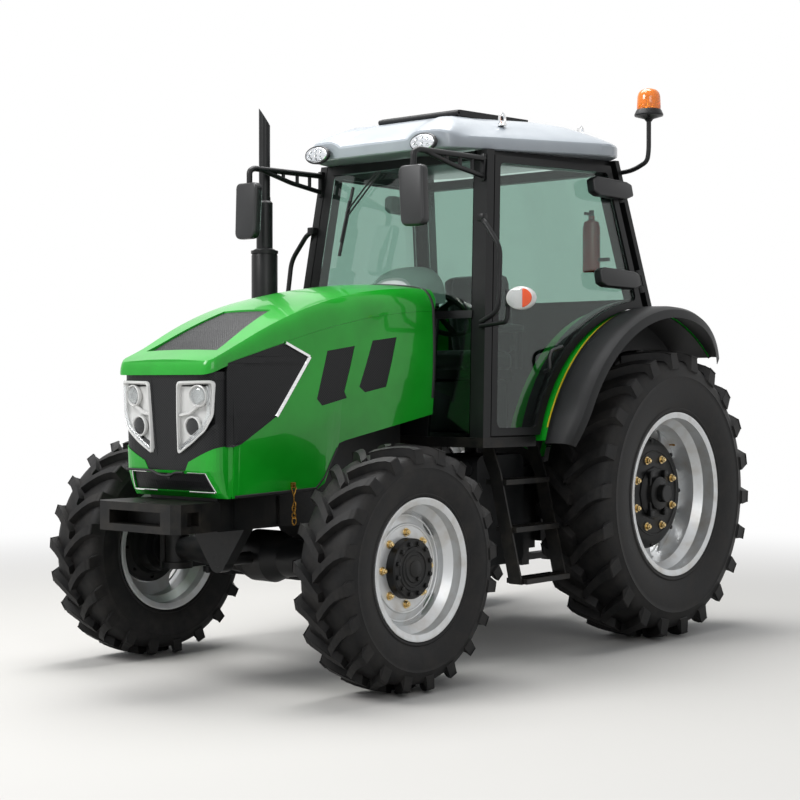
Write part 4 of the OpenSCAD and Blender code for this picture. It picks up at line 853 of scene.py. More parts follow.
def screen_row(z, columns=16):
    left, right = read_off(SCREEN_LEFT, z), read_off(SCREEN_RIGHT, z)
    sheet = on_side(right + 14, z)
    end_x = sheet[0][0].x if sheet else NOSE_SIDE
    row = []
    for k in range(columns + 1):
        y = left + (right - left) * k / columns
        x = NOSE_SIDE + (end_x - NOSE_SIDE) * (y - SCREEN_FRONT) / (right - SCREEN_FRONT)
        near = [p.x for p, n in on_side(y, z) if abs(p.x - x) < 0.015]
        row.append(Vector((max([x] + near) + 0.003, *from_front(0, y, z).yz)))
    return row


SCREEN_Z = sorted({SCREEN_LOW + (SCREEN_HIGH - SCREEN_LOW) * k / 30 for k in range(31)}
                  | {z for z, y in SCREEN_LEFT + SCREEN_RIGHT})
patch = bmesh.new()
screen_rows = loft(patch, [screen_row(z) for z in SCREEN_Z])
for k in range(6):
    bmesh.ops.smooth_vert(patch, verts=patch.verts, factor=0.5, use_axis_x=True)
screen_edge = [row[-1].co.copy() for row, z in zip(screen_rows, SCREEN_Z) if z >= 690]
hem(patch, [e for e in patch.edges if e.is_boundary], (-0.012, 0, 0))
both_sides("hood_side_screens", clean(patch), screen_steel, "hood")

COVER_FRONT, COVER_REAR = -578, -522
rows = []
for z in range(332, 561, 12):
    x0, x1 = [max(p.x for y in (first, first + 6) for p, n in on_side(y, z))
              for first in (COVER_FRONT, COVER_REAR - 6)]
    row = []
    for k in range(5):
        y = COVER_FRONT + (COVER_REAR - COVER_FRONT) * k / 4
        row.append((x0 + (x1 - x0) * k / 4 + 0.0015, *from_front(0, y, z).yz))
    rows.append(row)
cover = bmesh.new()
loft(cover, rows)
hem(cover, [e for e in cover.edges if e.is_boundary], (-0.006, 0, 0))
both_sides("hood_corner_covers", clean(cover), green_enamel, "hood")
print("side screens, rows:", len(SCREEN_Z))

# %% [markdown]
# A polished strip edges each side screen like a boomerang, another frames the slot below the grille. Black
# rubber seals close the hood against the chassis below and the cab behind.

# %% Strips and seals
def side_path(corners):
    return [hit for y, z in along(corners) for hit in on_side(y, z)]


def front_path(corners):
    return laid(hood_skin, [from_front(x, -900, z) for x, z in along(corners, 15)], FROM_FRONT)


strips = [trim([(p, Vector((0.99, 0, 0.12))) for p in screen_edge], 20, 6)]
for start, end, width in (((249, 440), (276, 352), 8), ((276, 350), (110, 350), 8), ((249, 440), (140, 440), 6)):
    strips.append(trim(front_path([start, end]), width, 4))
both_sides("hood_chrome_strips", joined(*strips), chrome, "hood")
seals = joined(trim(side_path([(-545, 330), (-30, 348)]), 13, 7),
               trim(side_path([(-30, 352), (20, 400), (120, 556)]), 10, 5))
REAR_EDGE = 792
hoop = []
for k in range(61):
    turn = radians(-14 + 208 * k / 60)
    reach = Vector((cos(turn), 0, sin(turn)))
    hoop += laid(hood_skin, [from_front(0, REAR_EDGE, 880) + reach * 0.9], -reach)
seals = joined(mirrored(seals), seals, trim(hoop, 20, 6))
finish_piece("hood_seals", seals, soft_rubber, "hood")
print("strips and seals; rear hoop has", len(hoop), "points")

# %% [markdown]
# ## Headlamps
# Each lamp is a silver bowl let into the corner of the grille: a raised rim, a wall falling to two round
# lamps, and a strip of light-emitting diodes down the outer edge. Its outline is drawn as (x, z) on the nose,
# whose plan is a rounded rectangle, so every ring of the bowl follows the corner.

# %% Points on the nose
NOSE_BACK, NOSE_HALF, BOXY = 556.8, 318.6, 0.42


def on_nose(x, z, proud):
    front = 667 + 23 * (z - 449) / 456
    side_share = min(abs(x) / NOSE_HALF, 1) ** (1 / BOXY)
    front_share = sqrt(1 - side_share ** 2)
    out = (NOSE_HALF + proud) * side_share ** BOXY
    ahead = NOSE_BACK + (front + proud - NOSE_BACK) * front_share ** BOXY
    return from_front(out if x > 0 else -out, -ahead, z)


def nose_normal(x, z):
    across = on_nose(x + 2, z, 0) - on_nose(x - 2, z, 0)
    upward = on_nose(x, z + 2, 0) - on_nose(x, z - 2, 0)
    return across.cross(upward).normalized()


def nose_bowl(outline, rings):
    """Rings of an outline, each shrunk towards its middle by a share and raised by millimetres, as a bowl."""
    outline = [Vector(point) for point in outline]
    middle = sum(outline, Vector((0, 0))) / len(outline)
    rows = [[on_nose(*(middle + (p - middle) * share), proud) for p in outline] for share, proud in rings]
    return lofted(rows, (-1,))


def nose_trim(corners, step, proud, width, height):
    path = [(on_nose(x, z, proud), nose_normal(x, z)) for x, z in along(corners, step)]
    return trim(path, width, height)


LAMP = [(88, 700), (96, 862), (308, 866), (299, 700), (262, 634), (180, 574), (86, 521), (88, 700)]
lamp_line = [(p.x, p.y) for p in rounded_path([(x, z, 0) for x, z in LAMP], 22, 4)[:-1]]
lamp_edge = along(lamp_line + lamp_line[:1], 12)[:-1]
print("lamp outline:", len(lamp_edge), "points")

# %% [markdown]
# The bowl is the outline repeated in rings, each smaller and deeper. Cups and lenses are turned profiles that
# look out of the nose, and a smaller bowl of black steel behind them fills the corner of the grille.

# %% Bowls, lenses and diode strips
UPPER, LOWER = (226, 794, -6), (186, 652, -6)


def facing_nose(shape, x, z, proud):
    """Turns a shape made round +X so that it looks out of the nose."""
    turn = nose_normal(x, z).to_track_quat("X", "Z").to_matrix().to_4x4()
    return moved(shape, Matrix.Translation(on_nose(x, z, proud)) @ turn)


RINGS = [(1.0, -8), (1.0, 7), (0.985, 9.5), (0.93, 10), (0.915, 7), (0.90, 0), (0.86, -14), (0.55, -20),
         (0.2, -21)]
UPPER_CUP = [(52, -8), (52, 6), (47, 9), (43, 4), (36, -12), (0, -16), (0, -18), (44, -18)]
LOWER_CUP = [(50, -8), (50, 6), (44, 8), (40, 3), (40, -8)]
UPPER_LENS = [(41, 0), (38, 7), (28, 13), (14, 16), (0, 17), (0, 12), (40, -1)]
LOWER_LENS = [(40, 0), (36, 5), (22, 9), (0, 10), (0, 4), (39, -3)]
DIODES = [(281, 842), (279, 712), (246, 648), (172, 594), (104, 549)]
silver = joined(nose_bowl(lamp_edge, RINGS), nose_trim([(100, 705), (170, 716), (262, 772)], 12, -13, 16, 12),
                facing_nose(spun(UPPER_CUP, 40), *UPPER), facing_nose(spun(LOWER_CUP, 40), *LOWER))
both_sides("headlamp_bowls", silver, bezel_plastic, "hood", ["headlamps"])
clear = joined(facing_nose(spun(UPPER_LENS, 40), *UPPER), nose_trim(DIODES, 10, 7, 15, 5))
both_sides("headlamp_lenses", clear, clear_lens, "hood")
both_sides("headlamp_low_lenses", facing_nose(spun(LOWER_LENS, 40), *LOWER), smoked_lens, "hood")
POCKET = [(64, 520), (85, 867), (318.6, 867), (318.6, 664), (290, 630), (64, 520)]
pocket = nose_bowl(along(POCKET, 15)[:-1], [(1.02, -10), (1.02, -2), (0.9, -2), (0.7, -28), (0.3, -30)])
both_sides("headlamp_surrounds", pocket, screen_steel, "hood")
print("headlamps")

# %% [markdown]
# The hood is opened by a bent wire under the grille, and a chain hook hangs from its lower edge: a triangle
# of wire, a few links and a snap hook, all plated.

# %% Latch wire and chain hook
bent = [on_nose(x, z, 16) for x, z in ((-262, 446), (-80, 446), (-30, 424), (40, 424), (70, 440), (125, 442))]
knob = facing_nose(spun([(0, 0), (13, 0), (13, 10), (0, 12)], 20), 30, 424, 6)
latch = joined(tube(rounded_path(bent, 0.03), 0.006, 10), knob)
finish_piece("hood_latch_wire", latch, soft_rubber, "hood")


hook_top = on_side(-190, 372)[0][0] + Vector((0.009, 0, 0))


def ring_link(y, z, width, height, radius, turn):
    """A link of the chain, its centre in metres from the hook's top."""
    loop = [Vector((width * sin(2 * pi * k / 16), 0, height * cos(2 * pi * k / 16))) for k in range(17)]
    place = Matrix.Translation(hook_top + Vector((0.004, y, z))) @ Matrix.Rotation(turn, 4, "Z")
    return tube([place @ p for p in loop], radius, 8)


TRIANGLE = ((0, -0.052), (-0.017, -0.012), (0.017, -0.012), (0, -0.052), (0, -0.085))
triangle = [hook_top + Vector((0.002, y, z)) for y, z in TRIANGLE]
parts = [tube(rounded_path(triangle, 0.006, 3), 0.003, 8),
         block(hook_top - Vector((0.010, 0.012, 0.014)), hook_top + Vector((0.004, 0.012, 0.012)), 2)]
parts += [ring_link(0.002 * (-1) ** k, -0.094 - 0.017 * k, 0.009, 0.013, 0.0034, k * 1.3) for k in range(4)]
parts.append(ring_link(0, -0.170, 0.010, 0.019, 0.003, 0.4))
finish_piece("hood_chain_hook", joined(*parts), brass, "hood")
print("latch and chain hook")

# %% [markdown]
# ## Roof
# The roof cap is one vacuum-formed moulding. It arches over each of the two work lamps like an eyebrow, a
# swelling of the front edge that fades towards the back. Its outline is repeated in rings that rise and
# shrink, as a moulding settles over its form.

# %% Roof cap
ROOF_TURN = Matrix.Translation(from_rear(0, -1440, 1828)) @ Matrix.Rotation(radians(1.6), 4, "X")


def on_roof(shape):
    """Places a shape drawn with x across, y back from the roof's front edge and z up from its underside."""
    return moved(shape, ROOF_TURN)


# Rings of the cap: share of the outline and height; the last is the top of the crown
ROOF_HALF = [(0, -14, 0), (300, -10, 0), (476, 2, 0), (846, 1108, 0), (590, 1332, 0), (0, 1340, 0)]
ROOF_RINGS = [(0.90, 2), (0.985, 0), (0.998, 6), (1.0, 14), (1.0, 54), (0.992, 66), (0.975, 76), (0.93, 96),
              (0.84, 130), (0.70, 174), (0.54, 205), (0.36, 213), (0.0, 214)]
LAMP_X, ROOF_MIDDLE = 372, 660
half = along([(p.x, p.y) for p in rounded_path(ROOF_HALF, 190, 8)], 22)
outline = half + [(-x, y) for x, y in reversed(half[1:-1])]


def roof_point(x, y, share, z):
    """A point of the roof; over each lamp the front edge swells up and fades towards the back."""
    x, y = x * share, ROOF_MIDDLE + (y - ROOF_MIDDLE) * share
    swell = 0 if z < 50 else 34 * max(0, 1 - y / 460) * max(0, 1 - (abs(abs(x) - LAMP_X) / 135) ** 4)
    return Vector((x, y, z + swell)) * MM


cap = bmesh.new()
loft(cap, [[roof_point(x, y, share, z) for x, y in outline] for share, z in ROOF_RINGS], True, (0,))
clean(cap)
finish_piece("roof_cap", on_roof(cap), roof_plastic, "chassis", ["roof_panel"], 24)
print("roof cap outline:", len(outline), "points")

# %% [markdown]
# Each work lamp is an oval bezel with a bright plate in it, on which eight diodes stand under small lenses.
# Four chromed eyes, one near each corner of the roof, are there to lift the cab.

# %% Roof lamps and lifting eyes
FORWARD = Matrix.Rotation(pi / 2, 4, "X")
CHIP = [(0, 0), (9, 0), (11, 4), (7, 7), (0, 8)]
bezels, lenses, chips = [], [], []
for side in (-1, 1):
    centre = Matrix.Translation((side * LAMP_X * MM, -0.012, 0.030))
    bezels.append(moved(plate(oval(87, 49), 22, 4), centre @ Matrix.Translation((0, -0.014, 0)) @ FORWARD))
    lenses.append(moved(plate(oval(79, 41), 14, 6, 3), centre @ Matrix.Translation((0, -0.028, 0)) @ FORWARD))
    for k in range(8):
        x, z = (0.050 * cos(pi * k / 4), 0.024 * sin(pi * k / 4)) if k else (0, 0)
        spot = centre @ Matrix.Translation((x, -0.037, z)) @ Matrix.Rotation(-pi / 2, 4, "Z")
        chips.append(moved(spun(CHIP, 16), spot))
finish_piece("roof_lamp_bezels", on_roof(joined(*bezels)), trim_plastic, "chassis")
finish_piece("roof_lamp_lenses", on_roof(joined(*lenses)), bowl_metal, "chassis", ["roof_lamps"])
finish_piece("roof_lamp_diodes", on_roof(joined(*chips)), clear_lens, "chassis")

eyes = []
for x, y, z in ((500, 470, 150), (-500, 470, 150), (520, 1180, 140), (-520, 1180, 140)):
    bow = oval(24, 30, 20)
    eyes.append(tube([Vector((x, y + a, z + 34 + b)) * MM for a, b in bow + bow[:1]], 0.0075, 10))
    eyes.append(moved(plate(round_outline(24), 14, 3), Matrix.Translation(Vector((x, y, z - 4)) * MM)))
finish_piece("roof_lifting_eyes", on_roof(joined(*eyes)), chrome, "chassis")
print("roof lamps and eyes")

# %% [markdown]
# ## Lamps and rails on the cab
# The cab leans in towards the roof and narrows to the front, so what stands on it needs the line of each
# pillar. The functions give the side's x, and the y of the front and rear pillars, at a height.

# %% Pillar lines
SIDE_TAPER, SIDE_LEAN = tan(radians(7.3)), tan(radians(5.5)) / cos(radians(7.3))


def side_x(y, z):
    return 744 + (y + 1122) * SIDE_TAPER - (z - 342) * SIDE_LEAN


def pillar_y(z):
    return -1412 + (z - 342) * tan(radians(7.4))


def rear_y(z):
    return -62 - (z - 1112) * tan(radians(12.8))


print("side of the cab at the sill:", round(side_x(-1122, 342)), "mm")

# %% [markdown]
# The turn lamps are oval, clear in the middle and orange outside, on bent black arms. The beacon is an amber
# dome on a black cone, at the top of a bent pipe. A steel grab rail stands off each front pillar beside the
# door. Pipes are tubes with rounded corners, and what is round is spun.

# %% Turn lamps, beacon and grab rails
arm = [from_rear(side_x(pillar_y(910), 910) - 24, pillar_y(910) - 7, 910), from_rear(836, -1392, 925),
       from_rear(846, -1392, 960), from_rear(850, -1392, 1045)]
arm_tube = joined(tube(rounded_path(arm, 0.05), 0.012, 14),
                  block(from_rear(846, -1416, 1000), from_rear(872, -1366, 1085), 6))
both_sides("turn_lamp_arms", arm_tube, cab_paint, "chassis")
LAMP_TURN = Matrix.Translation(from_rear(930, -1392, 1042)) @ Matrix.Rotation(radians(12), 4, "Z") @ FORWARD
lens = oval(68, 50, 48)
shell = moved(plate(oval(76, 58), 52, 12, 3), LAMP_TURN @ Matrix.Translation((0, 0, -0.026)))
clear = moved(plate([p for p in lens if p[0] <= 20], 10, 3), LAMP_TURN @ Matrix.Translation((0, 0, 0.020)))
orange = moved(plate([p for p in lens if p[0] >= 14], 13, 3), LAMP_TURN @ Matrix.Translation((0, 0, 0.019)))
both_sides("turn_lamp_shells", shell, bezel_plastic, "chassis", ["indicator_lamps"])
both_sides("turn_lamp_clear", clear, clear_lens, "chassis")
both_sides("turn_lamp_orange", orange, orange_lens, "chassis")

UPRIGHT = Matrix.Rotation(-pi / 2, 4, "Y")
stem = [from_rear(676, rear_y(1796) + 68, 1796), from_rear(800, -161, 1804), from_rear(896, -165, 1846),
        from_rear(905, -165, 1910), from_rear(905, -165, 2085)]
beacon_at = Matrix.Translation(from_rear(905, -165, 2075)) @ UPRIGHT
cone = moved(spun([(0, -10), (15, -10), (26, 4), (78, 20), (80, 28), (70, 50), (66, 56), (0, 56)], 40), beacon_at)
stem = joined(tube(rounded_path(stem, 0.06), 0.013, 14), cone)
finish_piece("beacon_stem", stem, cab_paint, "chassis")
dome = [(62, 55), (66, 62), (63, 128), (57, 148), (44, 162), (24, 170), (0, 172), (0, 55)]
finish_piece("beacon_dome", moved(spun(dome, 40), beacon_at), amber_lens, "chassis", ["beacon"])
glow = [(0, 60), (26, 60), (26, 70), (12, 78), (12, 118), (18, 124), (0, 128)]
finish_piece("beacon_lamp", moved(spun(glow, 24), beacon_at), bowl_metal, "chassis")

top_x, low_x = side_x(pillar_y(1470), 1470), side_x(pillar_y(950), 950)
rail = [from_rear(top_x - 20, pillar_y(1470) - 12, 1470), from_rear(top_x + 12, pillar_y(1440) - 26, 1446),
        from_rear(top_x + 118, pillar_y(1310) - 20, 1310), from_rear(low_x + 92, pillar_y(1000) - 14, 985),
        from_rear(low_x - 20, pillar_y(930) - 6, 930)]
clamp = block(from_rear(top_x - 40, pillar_y(1470) - 34, 1452), from_rear(top_x + 4, pillar_y(1470) + 6, 1492), 5)
rail = joined(tube(rounded_path(rail, 0.05), 0.0135, 16), clamp)
both_sides("grab_tubes", rail, cab_paint, "chassis", ["grab_rails"])
print("turn lamps, beacon and rails")

# %% [markdown]
# ## Exhaust
# The stack is a sleeve over a silencer, with a thin tail pipe that is cut on a slant so that rain runs off.
# Below, an elbow leads to the engine.

# %% Exhaust stack
stack = spun([(31, 400), (31, 560), (58, 566), (72, 590), (72, 1319), (60, 1351), (45, 1359), (45, 1609),
              (33, 1621), (33, 1640), (31, 1640), (31, 2100), (27, 2100), (27, 1700), (0, 1700), (0, 400)], 40)
for vert in stack.verts:
    # the slanted cut: only the mouth of the tail pipe lies above 2 m
    if vert.co.x > 2.0:
        vert.co.x += 0.034 * (vert.co.z - vert.co.y) / 0.031 - 0.02
for z in (905, 1330):
    stack = joined(stack, spun([(72, z), (75, z), (75, z + 16), (72, z + 16)], 40))
moved(stack, Matrix.Translation(from_rear(-665, -1592, 0)) @ UPRIGHT)
elbow = [from_rear(-665, -1592, 410), from_rear(-665, -1592, 330), from_rear(-210, -1592, 330)]
stack = joined(stack, tube(rounded_path(elbow, 0.075), 0.031, 20))
finish_piece("exhaust_pipe", stack, cab_paint, "chassis", ["exhaust_stack"])
print("exhaust")

# %% [markdown]
# ## Mirrors
# Each mirror hangs on a pierced arm that reaches forward from the pillar: an upper and a lower bar with webs
# between. The head is a rounded moulding, with the silvered glass let into its back.

# %% Mirror arms and heads
MIRROR_Y = -1800
arm_x = side_x(pillar_y(1720), 1720) - 24
upper = [(pillar_y(1782) + 4, 1782), (-1770, 1774), (MIRROR_Y, 1756), (MIRROR_Y, 1680)]
lower = [(pillar_y(1690) + 4, 1690), (-1480, 1722), (-1700, 1770)]
bars = [tube(rounded_path([from_rear(arm_x, y, z) for y, z in path], 0.03), radius, 14)
        for path, radius in ((upper, 0.016), (lower, 0.013))]
for y, low, high in ((-1330, 1704, 1780), (-1430, 1716, 1779), (-1540, 1736, 1777)):
    bars.append(tube([from_rear(arm_x, y, low), from_rear(arm_x, y, high)], 0.010, 12))
foot_y = pillar_y(1736)
bars.append(block(from_rear(arm_x - 14, foot_y - 16, 1664), from_rear(arm_x + 14, foot_y + 14, 1806), 4))
HEAD = [(8, 1692, 0), (-82, 1692, 0), (-62, 1392, 0), (88, 1392, 0), (78, 1692, 0), (8, 1692, 0)]
head_line = [(p.x, p.y) for p in rounded_path(HEAD, 42, 6)[:-1]]
head = moved(plate(head_line, 52, 13, 3), Matrix.Translation(from_rear(arm_x, MIRROR_Y + 22, 0)) @ FORWARD)
pane = plate([(3 + (x - 3) * 0.88, 1542 + (z - 1542) * 0.93) for x, z in head_line], 4, 1)
moved(pane, Matrix.Translation(from_rear(arm_x, MIRROR_Y + 25, 0)) @ FORWARD)
both_sides("mirror_arms", joined(*bars), cab_paint, "chassis")
both_sides("mirror_heads", head, trim_plastic, "chassis", ["mirrors"])
both_sides("mirror_glass", pane, mirror_silver, "chassis")
print("mirrors")

# %% [markdown]
# ## Fenders
# A moulded black flare hangs on each steel fender. Its section, a shelf with a rolled lip, is swept round the
# rear axle and grows narrower towards the back. A black sheet under each fender is painted shade, which darkens
# the space below, and a yellow line trims the edge.

# %% Flares, painted underside shade and lines
FENDER_X = 790


def swept(section, first, last, steps, taper=None):
    """A closed section of (radius, x) in millimetres swept round the rear axle, degrees up from the back."""
    rings = []
    for k in range(steps + 1):
        angle = first + (last - first) * k / steps
        share = taper(angle) if taper else 1
        y, z = cos(radians(angle)), sin(radians(angle))
        rings.append([from_rear(FENDER_X + (x - FENDER_X) * share, r * y, r * z) for r, x in section])
    return lofted(rings, (0, -1))


def flare_share(angle):
    rear = min(max((angle - 47) / 40, 0), 1)
    front = min(max((164 - angle) / 14, 0), 1)
    return (0.34 + 0.66 * rear * (2 - rear)) * (0.72 + 0.28 * front * (2 - front))


FLARE = [(1036, 790), (1048, 806), (1052, 840), (1050, 930), (1044, 968), (1030, 990), (1008, 998), (984, 1000),
         (984, 993), (1006, 991), (1024, 984), (1036, 962), (1041, 930), (1042, 840), (1038, 812), (1030, 790)]
both_sides("fender_flare_mouldings", swept(FLARE, 48, 163, 64, flare_share), grained_plastic, "chassis",
           ["fender_flares"])
# painted shade: a black sheet under the fender darkens the space below it
UNDERSIDE_SHADE_SHEET = [(1026, 800), (1020, 800), (1020, 567), (760, 567), (760, 561), (1026, 561)]
both_sides("fender_underside_painted_shade", swept(UNDERSIDE_SHADE_SHEET, 49, 162, 48), soft_rubber, "chassis")
LINE = [(1034, 780), (1037.5, 780), (1037.5, 789), (1034, 789)]
both_sides("fender_lines", swept(LINE, 70, 158, 60), yellow_enamel, "chassis")
print("fender trim")

# %% [markdown]
# ## Doors and windscreen
# A black plastic wedge covers each door hinge, and a bent grip pulls the door open. They are made once, for
# the left door, and mirrored for the right one, so that each rides on its own door.

# %% Hinge covers and grips
HINGE_Y = -308
WEDGE = [(-140, -34), (-150, 30), (-190, 44), (-440, 58), (-476, 40), (-470, -30), (-430, -48), (-200, -54)]
GRIP = ((-790, 812, -4), (-806, 812, 36), (-905, 790, 42), (-926, 752, 42), (-920, 690, 36), (-914, 680, -4))
covers = []
for z in (1690, 1190):
    cover = plate(WEDGE, 58, 10, 3)
    # outline (y, z) stands upright, its thickness outward, turned with the taper and the lean of the cab's side
    moved(cover, Matrix(((0, 0, 1, 0), (1, 0, 0, -HINGE_Y * MM), (0, 1, 0, 0), (0, 0, 0, 1))))
    moved(cover, Matrix.Rotation(radians(-7.3), 4, "Z") @ Matrix.Rotation(radians(-5.5), 4, "Y"))
    covers.append(moved(cover, Matrix.Translation(from_rear(side_x(HINGE_Y, z) + 3, HINGE_Y, z))))
grip = tube(rounded_path([from_rear(side_x(y, z) + out, y, z) for y, z, out in GRIP], 0.02), 0.010, 12)
for ending, shape in (("_hinge_covers", joined(*covers)), ("_grip", grip)):
    finish_piece("right_door" + ending, mirrored(shape), trim_plastic, "right_door")
    finish_piece("left_door" + ending, shape, trim_plastic, "left_door")
print("hinge covers and grips")

# %% [markdown]
# Two thin arms carry the wiper, which parks at the side of the screen. Arms and blade are tubes through
# points where rays from the front meet the glass, lifted off it along its normal.

# %% Wiper
glass_skin = skin_of(nodes["cab_windows"].data)


def on_screen(points, proud):
    found = laid(glass_skin, [from_rear(x, -2200, z) for x, z in along(points, 40)], FROM_FRONT)
    return [p + n * proud for p, n in found]


ARMS = ([(-130, 1770), (-345, 1540)], [(-160, 1770), (-362, 1556)])
wiper = [tube(on_screen(arm, 0.024), 0.005, 8) for arm in ARMS]
blade = on_screen([(-332, 1700), (-392, 1320)], 0.013)
wiper.append(tube(blade, 0.009, 8))
wiper.append(tube([p + Vector((0, -0.012, 0)) for p in blade[2:-2]], 0.006, 8))
finish_piece("wiper", joined(*wiper), trim_plastic, "chassis")
print("wiper")

# %% [markdown]
# ## In the cab
# Behind the screen a pale cowl covers the instruments. It is a shell of arches that widen from the front to
# the driver, with a rim turned in.

# %% Instrument cowl
# Arches as (y, half width, height) from the rear axle, and the height of their feet
COWL = [(-1318, 70, 46), (-1306, 120, 92), (-1280, 168, 140), (-1235, 205, 178), (-1175, 224, 200),
        (-1118, 228, 206), (-1106, 222, 200), (-1106, 204, 184), (-1130, 196, 176)]
COWL_FOOT, COWL_BOXY = 1046, 0.75
arches = []
for y, half, height in COWL:
    arch = []
    for k in range(33):
        turn = pi * k / 32
        out = half * abs(cos(turn)) ** COWL_BOXY
        arch.append(from_rear(out if turn < pi / 2 else -out, y, COWL_FOOT + height * sin(turn) ** COWL_BOXY))
    arches.append(arch)
finish_piece("instrument_cowl", lofted(arches, (0, -1)), cowl_plastic, "chassis")
print("cowl arches:", len(COWL))

# %% [markdown]
# The seat has a cushion, a back and an armrest of foam under cloth. Each starts as a cut-up block whose
# corners are drawn in by smoothing, then a cloth simulation swells the cover, and two seams draw it in again.

# %% Foam, cover and seams
SWELL_FRAMES = 20


def foam(low, high, lean=0.0, about=(0, 0, 0)):
    """A stuffed block between two corners, leaning back about a point."""
    low, high = Vector(low), Vector(high)
    shape = bmesh.new()
    bmesh.ops.create_cube(shape, size=2)
    bmesh.ops.subdivide_edges(shape, edges=shape.edges[:], cuts=9, use_grid_fill=True)
    for k in range(4):
        bmesh.ops.smooth_vert(shape, verts=shape.verts, factor=0.5, use_axis_x=True, use_axis_y=True,
                              use_axis_z=True)
    reach = max(v.co.x for v in shape.verts)
    moved(shape, Matrix.Translation((low + high) / 2) @ Matrix.Diagonal((*((high - low) / 2 / reach), 1)))
    there = Matrix.Translation(about)
    return moved(shape, there @ Matrix.Rotation(radians(lean), 4, "X") @ there.inverted())


def as_it_looks(piece):
    """The mesh of an object after its modifiers."""
    return bpy.data.meshes.new_from_object(piece.evaluated_get(bpy.context.evaluated_depsgraph_get()))


def stuffed(name, shape, most_move):
    """The block's cover swells under pressure, as a cushion's does, and no point moves farther than a limit."""
    mesh = bpy.data.meshes.new(name + "_cover")
    shape.to_mesh(mesh)
    shape.free()
    cover = bpy.data.objects.new(name + "_cover", mesh)
    scene.collection.objects.link(cover)
    remesh = cover.modifiers.new("remesh", "REMESH")
    remesh.mode, remesh.voxel_size = "VOXEL", 0.008
    even = as_it_looks(cover)
    cover.modifiers.clear()
    cover.data = even
    rest = [v.co.copy() for v in even.vertices]
    cloth = cover.modifiers.new("cloth", "CLOTH")
    cloth.settings.use_pressure, cloth.settings.uniform_pressure_force = True, 4
    cloth.settings.effector_weights.gravity = 0
    cloth.point_cache.frame_start, cloth.point_cache.frame_end = 1, SWELL_FRAMES
    for step in range(1, SWELL_FRAMES + 1):
        scene.frame_set(step)
    swollen = as_it_looks(cover)
    for vert, start in zip(swollen.vertices, rest):
        move = vert.co - start
        if move.length > most_move:
            vert.co = start + move.normalized() * most_move
    bpy.data.objects.remove(cover)
    scene.frame_set(1)
    shape = bmesh.new()
    shape.from_mesh(swollen)
    return shape


def sewn(shape, seams_x, depth=0.007, width=0.011):
    """Draws the cover in along seams that run from front to back or up the seat."""
    shape.normal_update()
    pulls = [sum(exp(-((v.co.x - x) / width) ** 2) for x in seams_x) for v in shape.verts]
    for vert, pull in zip(shape.verts, pulls):
        vert.co -= vert.normal * depth * pull
    return shape


print("cover swells over", SWELL_FRAMES, "frames")

# %% [markdown]
# The three pads stand on a moulded base. A fire extinguisher hangs at the rear post, a spun bottle with a
# valve, a handle and a bracket.

# %% Seat and extinguisher
SEAMS = (-0.135, 0.135)
pads = {"seat_cushion": foam(from_rear(-222, -885, 698), from_rear(222, -450, 786)),
        "seat_back": foam(from_rear(-216, -514, 770), from_rear(216, -418, 1252), 12, from_rear(0, -470, 780)),
        "seat_armrest": foam(from_rear(237, -795, 905), from_rear(287, -475, 947))}
for name, shape in pads.items():
    shape = stuffed(name, shape, 0.006 if name == "seat_armrest" else 0.016)
    if name != "seat_armrest":
        sewn(shape, SEAMS)
    stands_for = ["seat"] if name == "seat_cushion" else []
    pad = finish_piece(name, shape, seat_cloth, "chassis", stands_for)
    print(name, len(pad.data.polygons), "faces")
base = joined(block(from_rear(-170, -820, 342), from_rear(170, -480, 640), 20, 3),
              block(from_rear(-200, -850, 640), from_rear(200, -470, 696), 10),
              block(from_rear(246, -520, 700), from_rear(276, -480, 910), 6))
finish_piece("seat_base", base, trim_plastic, "chassis")
bottle = [(0, 0), (44, 0), (50, 8), (50, 250), (42, 284), (18, 300), (18, 318), (0, 318)]
post = Matrix.Translation(from_rear(575, -240, 1240)) @ UPRIGHT
finish_piece("extinguisher", moved(spun(bottle, 32), post), red_enamel, "chassis")
grip = joined(moved(spun([(0, 316), (14, 316), (14, 350), (0, 352)], 16), post),
              block(from_rear(570, -310, 1560), from_rear(582, -225, 1576), 2),
              block(from_rear(560, -250, 1300), from_rear(690, -225, 1320), 3))
finish_piece("extinguisher_grip", grip, trim_plastic, "chassis")
print("seat and extinguisher")

# %% [markdown]
# ## Studio
# A pale floor that the camera sees as almost white, three broad soft lamps and a white sky. Rays from the
# camera, through glass and off shiny surfaces get the bright backdrop; the light on the tractor stays at a
# plain level.

# %% Floor and world
def looked_at(tree):
    """1 for rays from the camera, through glass and off shiny surfaces, and 0 for the light itself."""
    ray = add_node(tree, "ShaderNodeLightPath").outputs
    straight = add_node(tree, "ShaderNodeMath", {0: ray["Is Camera Ray"], 1: ray["Is Transmission Ray"]},
                        operation="MAXIMUM")
    return add_node(tree, "ShaderNodeMath", {0: straight, 1: ray["Is Glossy Ray"]}, operation="MAXIMUM")


floor_finish, tree, shader = start_finish("pale_floor", "#c9c7c3", 0.75)
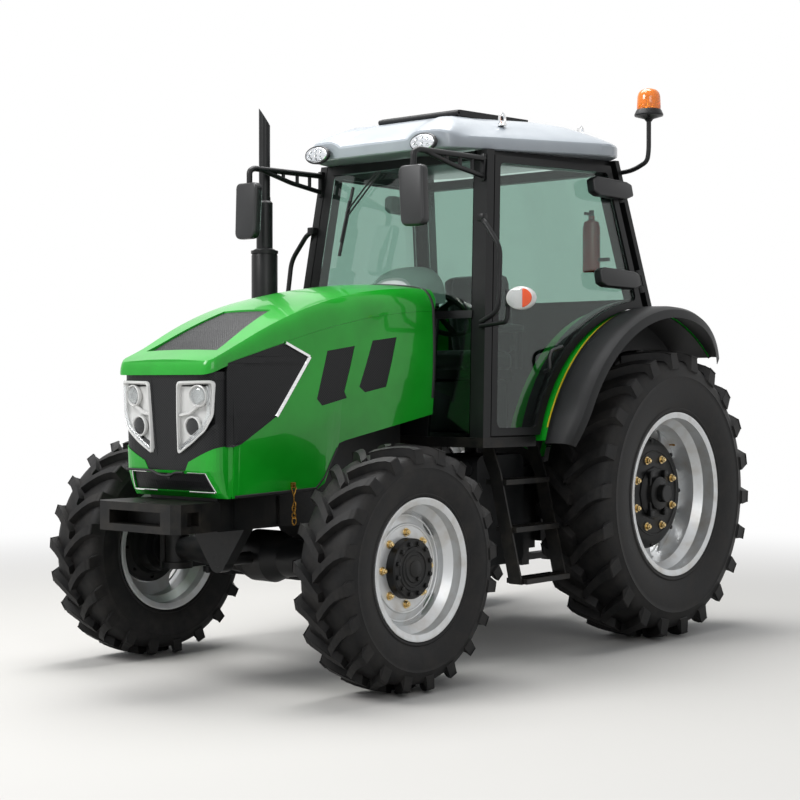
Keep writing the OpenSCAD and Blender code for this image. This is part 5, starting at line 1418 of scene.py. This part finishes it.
# A warm pale grey that fades to white between 2.6 and 8 metres from the tractor; the light still falls on it
place = add_node(tree, "ShaderNodeTexCoord").outputs["Object"]
reach = add_node(tree, "ShaderNodeVectorMath", {0: place}, operation="LENGTH").outputs["Value"]
fade = add_node(tree, "ShaderNodeMapRange", {"Value": reach, "From Min": 2.6, "From Max": 8.0},
                interpolation_type="SMOOTHSTEP")
seen = add_node(tree, "ShaderNodeMath", {0: fade, 1: looked_at(tree)}, operation="MULTIPLY")
paper = add_node(tree, "ShaderNodeEmission", {"Color": (1, 1, 1, 1), "Strength": 1.0})
blend = add_node(tree, "ShaderNodeMixShader", {"Fac": seen, 1: shader, 2: paper})
wire(tree, tree.nodes["Material Output"], {"Surface": blend})
floor_shape = bmesh.new()
bmesh.ops.create_grid(floor_shape, x_segments=1, y_segments=1, size=60)
floor_mesh = bpy.data.meshes.new("floor")
floor_shape.to_mesh(floor_mesh)
floor_shape.free()
floor_mesh.materials.append(floor_finish)
floor = bpy.data.objects.new("floor", floor_mesh)
scene.collection.objects.link(floor)

world = bpy.data.worlds.new("studio")
world.use_nodes = True
scene.world = world
sky = world.node_tree
white = add_node(sky, "ShaderNodeBackground", {"Color": (1, 1, 1, 1), "Strength": 1.0})
wire(sky, sky.nodes["Background"], {"Color": linear("#e8eef6"), "Strength": 0.34})
blend = add_node(sky, "ShaderNodeMixShader", {"Fac": looked_at(sky), 1: sky.nodes["Background"], 2: white})
wire(sky, sky.nodes["World Output"], {"Surface": blend})
print("floor and sky ready")

# %% [markdown]
# The lamps are soft boxes: a large one overhead for the broad light on hood and roof, a key from the camera's
# side, and one high in front on the far side that draws the edges.

# %% Lamps
def soft_lamp(name, place, target, size, watts):
    data = bpy.data.lights.new(name, "AREA")
    data.shape = "RECTANGLE"
    data.size, data.size_y = size
    data.energy = watts
    lamp = bpy.data.objects.new(name, data)
    lamp.location = place
    lamp.rotation_euler = (Vector(target) - Vector(place)).to_track_quat("-Z", "Y").to_euler()
    scene.collection.objects.link(lamp)


soft_lamp("overhead", (-1.0, 0.6, 7.5), (0, 0, 1.0), (5, 5), 620)
soft_lamp("front_left_key", (7.5, -5.0, 5.0), (0, 0, 1.2), (4, 4), 150)
soft_lamp("front_high", (-1.8, -6.5, 6.2), (0, -1, 1.2), (3, 3), 400)
scene.view_settings.view_transform = "Standard"
